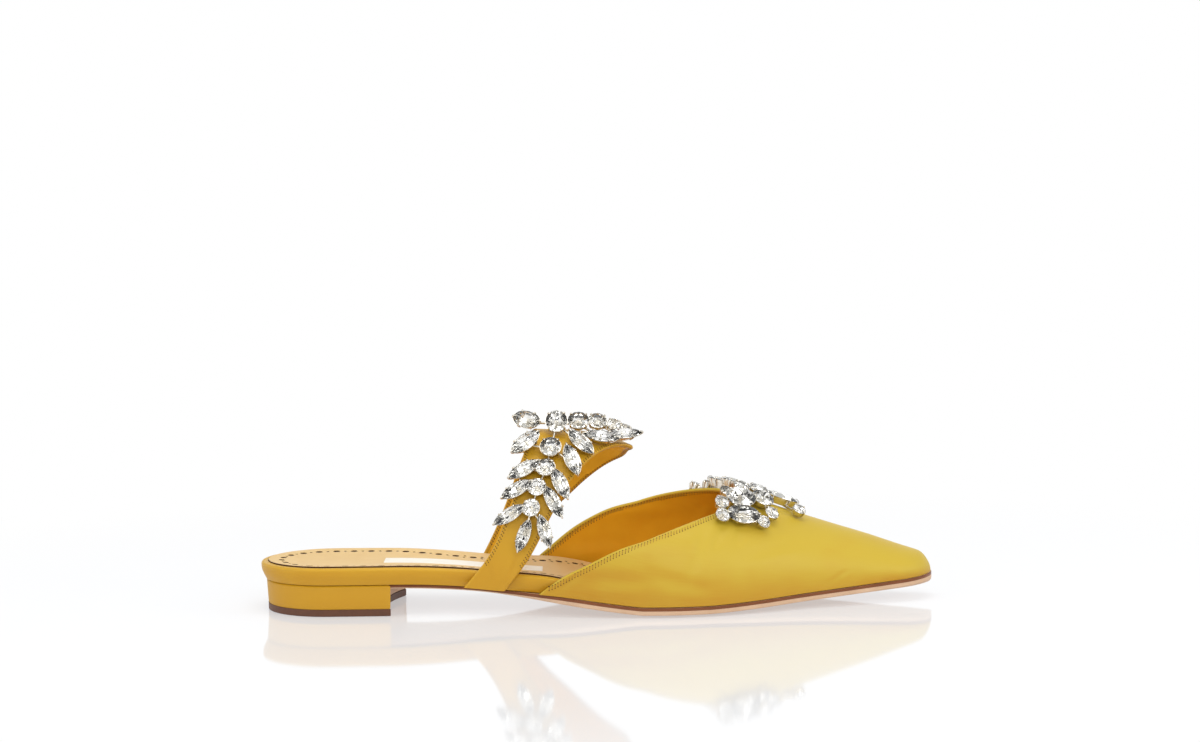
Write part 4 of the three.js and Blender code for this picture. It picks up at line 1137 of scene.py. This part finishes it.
for name, skin, normals in (
    ("strap_back_stitches", strap_skin, strap_normals),
    ("strap_front_stitches", strap_skin[:, ::-1], strap_normals[:, ::-1]),
    ("strap_back_lining_stitches", strap_inside, -strap_normals),
    ("strap_front_lining_stitches", strap_inside[:, ::-1], -strap_normals[:, ::-1]),
):
    seam = inside_edge(skin[8:-8], normals[8:-8], STRAP_STITCH_INSET)
    settle(stitch_row(name, *seam, STRAP_STITCH_LENGTH), "yellow_satin")

# Crystals and their settings: foil-backed lead glass, cut round or as pointed leaves, each in
# a stamped cup of pale gilt brass with small claws bent over its edge. The cups are soldered
# to each other by short rods, and the whole is sewn onto the satin.
LEAF_LENGTH = 14.5
LEAF_WIDTH = 5.9
BEAD = 6.9
CRYSTAL_HEIGHT = 2.9
SETTING_PLATE = 1.1
SETTING_GAP = 0.6
TIP_LIFT = 3
SMALL_STONE = 2.6
SMALL_STONE_SUNK = 0.5
TILT_CLEARANCE = 0.7
LOWEST_SHARE = 0.62
GIRDLE_HEIGHT = 0.55
GIRDLE_HALF = 0.12
BACK_HEIGHT = 0.45
SLIM_WAIST = 2.2
SLIM_CLAW = 0.75
CLAW_WIDTH = 0.55
CLAW_THICKNESS = 0.35
CLAW_ANGLES = {"round": (45, 135, 225, 315), "leaf": (0, 62, 118, 180, 242, 298)}
ROD_THICKNESS = 0.9
ROD_HEIGHT = SETTING_PLATE * 0.6
CUP_SIDES = 32
FROND_LEAN = 0.45
BROOCH_LEAN = 0.15
FAR_LEAN = 0.14

# Cut, share of the last's length, turn round it, length and width as shares of the usual one,
# heading of the long axis from the toe direction towards the inner side, lift as a share of
# TIP_LIFT, and the numbers of the crystals that a rod runs to.
Stone = namedtuple("Stone", "cut along turn long wide heading lift joins")
FROND = [Stone(*row) for row in (
    ("leaf", 0.399, -0.01, 0.76, 1.24, 163, 0, [2]),
    ("round", 0.443, -0.075, 1.26, 1.42, 0, 0, [8, 9]),
    ("round", 0.474, -0.013, 1.24, 1.14, 0, 0, [2, 4, 11]),
    ("round", 0.500, 0.011, 1.1, 1.04, 0, 0.4, [5, 12]),
    ("round", 0.521, 0.0, 0.8, 0.8, 0, 0.8, [6]),
    ("round", 0.535, 0.0, 0.7, 0.7, 0, 1, []),
    ("leaf", 0.398, -0.277, 0.95, 1.1, -139, 0, [8]),
    ("round", 0.435, -0.313, 1.2, 1.2, 0, 0, [10, 14]),
    ("leaf", 0.478, -0.262, 0.98, 1.0, -44, 0, []),
    ("leaf", 0.466, -0.390, 1.02, 1.0, -66, 0, []),
    ("leaf", 0.506, -0.190, 1.0, 0.9, 2, 0.17, []),
    ("leaf", 0.534, -0.095, 1.1, 0.84, 28, 0.67, []),
    ("leaf", 0.396, -0.456, 0.95, 0.96, -145, 0, [14]),
    ("round", 0.428, -0.442, 1.08, 1.08, 0, 0, [15, 17]),
    ("leaf", 0.450, -0.523, 0.98, 0.92, -60, 0, []),
    ("leaf", 0.386, -0.559, 0.92, 0.9, -146, 0, [17]),
    ("round", 0.416, -0.545, 1.02, 1.02, 0, 0, [18, 20]),
    ("leaf", 0.440, -0.607, 1.0, 0.88, -56, 0, []),
    ("leaf", 0.376, -0.673, 0.98, 0.86, -146, 0, [20]),
    ("round", 0.408, -0.640, 0.98, 0.98, 0, 0, [21, 22]),
    ("leaf", 0.397, -0.758, 0.92, 0.84, -106, 0, []),
    ("leaf", 0.428, -0.735, 0.92, 0.84, -67, 0, []),
)]
BROOCH = [Stone(*row) for row in (
    ("round", 0.679, -0.366, 0.82, 0.82, 0, 0, [2, 4]),
    ("round", 0.679, -0.465, 0.82, 0.82, 0, 0, [5]),
    ("round", 0.688, -0.220, 0.74, 0.74, 0, 0, [4]),
    ("leaf", 0.707, -0.270, 0.9, 1.66, 28, 0, [5, 10]),
    ("leaf", 0.709, -0.425, 0.95, 1.4, 13, 0, [6]),
    ("round", 0.739, -0.440, 0.76, 0.76, 0, 0, [7]),
    ("round", 0.753, -0.335, 0.8, 0.8, 0, 0, [8]),
    ("round", 0.741, -0.185, 1.3, 1.3, 0, 0, [9]),
    ("round", 0.737, -0.015, 1.25, 1.25, 0, 0, [10, 11]),
    ("round", 0.711, -0.090, 0.95, 0.95, 0, 0, []),
    ("leaf", 0.772, 0.040, 1.0, 1.45, 0, 0, [12, 13]),
    ("round", 0.797, -0.170, 0.76, 0.76, 0, 0, []),
    ("round", 0.797, 0.250, 0.62, 0.62, 0, 0, []),
    ("round", 0.667, 0.315, 0.68, 0.68, 0, -0.1, [15]),
    ("round", 0.648, 0.390, 0.68, 0.68, 0, -0.1, []),
    ("leaf", 0.690, 0.255, 0.95, 1.25, -12, -0.15, [14, 18]),
    ("leaf", 0.706, 0.085, 0.8, 1.4, 0, -0.15, [16, 9]),
    ("round", 0.724, 0.290, 0.62, 0.62, 0, 0, [19]),
    ("round", 0.743, 0.190, 1.1, 1.1, 0, 0, [9]),
)]


def ranged(tree, share, low, high):
    inputs = {"Value": share, "To Min": low, "To Max": high}
    return add_node(tree, "ShaderNodeMapRange", inputs=inputs).outputs["Result"]


# Lead crystal: clear and hard-edged, with bright and dark flashes from facet to facet.
lead_crystal = new_material("cut_lead_crystal")
glass = lead_crystal.node_tree
flaws = noise(glass, texture_place(glass), 0.5 / MM, 2)
finish_surface(glass, {
    "Base Color": mixed(glass, flaws, "#fafaf8", "#ffffff"), "IOR": 1.68,
    "Roughness": ranged(glass, flaws, 0, 0.03), "Transmission Weight": 1.0,
})

# Silver foil on the back of the glass: a mirror seen through it.
silver_foil = new_material("silver_foil_backing")
foil = silver_foil.node_tree
foil_grain = noise(foil, texture_place(foil), 0.8 / MM, 2)
finish_surface(foil, {
    "Base Color": mixed(foil, foil_grain, "#efeeeb", "#fbfaf7"), "Metallic": 1.0, "Roughness": 0.04,
})

# Gilt brass, plated pale gold and tumbled bright: soft scratches break up its reflections.
pale_gilt = new_material("pale_gilt_brass")
gilt = pale_gilt.node_tree
tumbled = noise(gilt, texture_place(gilt), 1.2 / MM, 4)
finish_surface(gilt, {
    "Base Color": mixed(gilt, tumbled, "#cfc6b4", "#ece7dc"), "Metallic": 1.0,
    "Roughness": ranged(gilt, tumbled, 0.12, 0.32), "Normal": bumped(gilt, tumbled, 0.2, 0.03),
})


def satin_directions(x, turn):
    step, turn_step = 0.3, 0.005
    ahead = last_point(x + step, turn) - last_point(x - step, turn)
    around = last_point(x, turn + turn_step) - last_point(x, turn - turn_step)
    return unit(ahead), unit(np.cross(ahead, around))


def half_sizes(stone):
    length, width = (LEAF_LENGTH, LEAF_WIDTH) if stone.cut == "leaf" else (BEAD, BEAD)
    return stone.long * length / 2, stone.wide * width / 2


def stone_frame(stone, wall, leaning_turn):
    """Origin over the satin and the long, wide and upward directions of a crystal. It faces the
    way that the satin does at leaning_turn, and stands clear of the satin by its tilted half."""
    x = stone.along * LAST_LENGTH
    forward, away = satin_directions(x, stone.turn)
    _, up = satin_directions(x, leaning_turn)
    forward = unit(forward - up * (forward @ up))
    heading = math.radians(stone.heading)
    long = forward * math.cos(heading) + np.cross(up, forward) * math.sin(heading)
    tilt = math.sqrt(max(0, 1 - float(up @ away) ** 2))
    clear = TILT_CLEARANCE * half_sizes(stone)[1] * tilt
    return last_point(x, stone.turn) + away * (wall + clear), long, np.cross(up, long), up


def stone_height(stone):
    """Small crystals are lower than large ones."""
    usual = (LEAF_WIDTH if stone.cut == "leaf" else BEAD) / 2
    return CRYSTAL_HEIGHT * min(1, max(LOWEST_SHARE, half_sizes(stone)[1] / usual))


def base_height(stone):
    sunk = SMALL_STONE_SUNK if min(half_sizes(stone)) < SMALL_STONE else 0
    return SETTING_GAP + TIP_LIFT * stone.lift - sunk


def girdle_height(stone, share=GIRDLE_HEIGHT):
    return base_height(stone) + SETTING_PLATE + FIT + stone_height(stone) * share


def girdle(stone, angles, share=1.0, grow=0.0):
    """Outline of a crystal: round, or a leaf that is the more pointed the slimmer it is."""
    half_long, half_wide = half_sizes(stone)
    slim = 1 - min(1, max(0, (half_wide / half_long - 0.34) / 0.3))
    power = 1 + 0.5 * slim if stone.cut == "leaf" else 1
    sine = np.sin(angles)
    return np.stack([
        np.cos(angles) * (half_long * share + grow),
        np.sign(sine) * np.abs(sine) ** power * (half_wide * share + grow),
    ], axis=-1)


def placed(axes, flat, z):
    """Points in the shoe from flat points of a crystal at a height above the satin."""
    origin, long, wide, up = axes
    return origin + flat[:, :1] * long + flat[:, 1:] * wide + z * up


def outlines(stone, axes, angles, levels):
    """Outlines of a crystal, one for each level of share, widening and height."""
    return np.concatenate([
        placed(axes, girdle(stone, angles, share, grow), z) for share, grow, z in levels
    ])


def cut_crystal(name, stone, axes):
    """A brilliant cut: table, star, kite and girdle facets above, long facets to the back."""
    count = 8
    step = 2 * math.pi / count
    start = step / 2 if stone.cut == "round" else 0
    main = np.arange(count) * step + start
    half = main + step / 2
    both = np.arange(2 * count) * step / 2 + start
    belt, face = girdle_height(stone), girdle_height(stone, 1)
    back = base_height(stone) + BACK_HEIGHT
    keel = girdle(stone, main) * ((0.42, 0.02) if stone.cut == "leaf" else (0.03, 0.03))
    points = np.concatenate([
        placed(axes, girdle(stone, main, 0.56), face),
        placed(axes, girdle(stone, half, 0.76), lerp(belt, face, 0.66)),
        placed(axes, girdle(stone, both, 0.97), belt + GIRDLE_HALF),
        placed(axes, girdle(stone, both, 0.97), belt - GIRDLE_HALF),
        placed(axes, girdle(stone, half, 0.55), lerp(belt, back, 0.5)),
        placed(axes, keel, back),
    ])
    top, kite, upper, lower, middle, tip = np.cumsum([0, 1, 1, 2, 2, 1]) * count
    front_faces, back_faces = [range(top, top + count)], [range(tip, tip + count)]
    for i in range(count):
        j = (i + 1) % count
        a, b, c = upper + 2 * i, upper + 2 * i + 1, upper + 2 * j
        low_a, low_b, low_c = (corner + lower - upper for corner in (a, b, c))
        front_faces += [
            (top + i, top + j, kite + i), (top + i, kite + i, a), (top + j, c, kite + i),
            (kite + i, b, a), (kite + i, c, b), (a, b, low_b, low_a), (b, c, low_c, low_b),
        ]
        back_faces += [
            (low_a, low_b, middle + i), (low_b, low_c, middle + i), (low_a, middle + i, tip + i),
            (low_c, tip + j, middle + i), (middle + i, tip + j, tip + i),
        ]
    crystal = make_piece(
        name, points, [*front_faces, *back_faces], [lead_crystal, silver_foil],
        kinds=[0] * len(front_faces) + [1] * len(back_faces), sharp_angle=1, weld=0.01,
    )
    crystal.data.polygons.foreach_set("use_smooth", np.zeros(len(crystal.data.polygons), dtype=bool))
    return crystal


def tube(path, widths, across, sides=6):
    """A closed rod along a path of points, with its own half widths at each of them."""
    along = unit(np.gradient(path, axis=0))
    side = unit(across - along * np.sum(across * along, axis=-1, keepdims=True))
    up = np.cross(along, side)
    angles = np.arange(sides) * 2 * math.pi / sides
    rings = [
        p + s * w * math.cos(a) + u * t * math.sin(a)
        for p, s, u, (w, t) in zip(path, side, up, widths) for a in angles
    ]
    return np.array(rings), tube_faces(sides, len(path))


def cup(stone, axes):
    """A thin bowl that holds the crystal nearly up to its girdle."""
    angles = np.arange(CUP_SIDES) * 2 * math.pi / CUP_SIDES
    low, brim = base_height(stone), girdle_height(stone, 0.48)
    levels = [
        (0.5, 0, low), (0.72, 0, low), (0.9, 0.05, lerp(low, brim, 0.55)), (0.98, 0.1, brim),
        (0.98, -0.12, brim), (0.86, -0.1, lerp(low, brim, 0.5)), (0.5, 0, low + 0.3),
    ]
    return outlines(stone, axes, angles, levels), tube_faces(CUP_SIDES, len(levels))


def claws(stone, axes):
    """Bent claws: four round a bead, one at each tip and four at the sides of a leaf."""
    low, belt = base_height(stone), girdle_height(stone)
    over = belt + stone_height(stone) * 0.32
    size = SLIM_CLAW if half_sizes(stone)[1] < SLIM_WAIST else 1
    profile = [
        (0.8, 0, low + 0.2), (0.98, 0.1, lerp(low, belt, 0.6)), (1.0, 0.24, belt),
        (0.97, 0.12, lerp(belt, over, 0.6)), (0.86, 0, over), (0.8, -0.05, over + 0.02),
    ]
    widths = np.outer([1, 1, 1, 1, 0.95, 0.6], [CLAW_WIDTH / 2 * size, CLAW_THICKNESS / 2 * size])
    for angle in CLAW_ANGLES[stone.cut]:
        spot = np.radians([angle])
        path = outlines(stone, axes, spot, profile)
        outward = girdle(stone, spot)[0] @ np.array(axes[1:3])
        yield tube(path, widths, np.cross(axes[3], outward))


def rod(axes, stone, other_axes, other):
    """A soldered rod between the cups of two crystals."""
    start = axes[0] + axes[3] * (base_height(stone) + ROD_HEIGHT)
    end = other_axes[0] + other_axes[3] * (base_height(other) + ROD_HEIGHT)
    path = np.linspace(start, end, 5)
    return tube(path, np.full((len(path), 2), ROD_THICKNESS / 2), axes[3], sides=8)


def set_ornament(prefix, stones, frames):
    parts = []
    for number, (stone, axes) in enumerate(zip(stones, frames), 1):
        crystal = cut_crystal(f"{prefix}_stone_{number:02d}", stone, axes)
        settle(crystal, "crystal", f"{prefix}_crystal_{number:02d}")
        parts += [cup(stone, axes), *claws(stone, axes)]
        parts += [rod(axes, stone, frames[join - 1], stones[join - 1]) for join in stone.joins]
    setting = make_piece(
        f"{prefix}_gilt_cups", *joined(parts), [pale_gilt], sharp_angle=45, weld=0.0001,
    )
    settle(setting, "pale_metal", f"{prefix}_setting")


def brooch_facing(turn):
    """The near stones of the brooch lean a little outwards, and the far ones less so."""
    near = float(smoothstep(-turn, -0.1, 0.1))
    far = float(smoothstep(turn, 0.05, 0.3))
    return turn - BROOCH_LEAN * near - FAR_LEAN * far


set_ornament("strap", FROND, [stone_frame(s, STRAP_WALL, min(s.turn, -FROND_LEAN)) for s in FROND])
set_ornament("vamp", BROOCH, [stone_frame(s, UPPER_WALL, brooch_facing(s.turn)) for s in BROOCH])
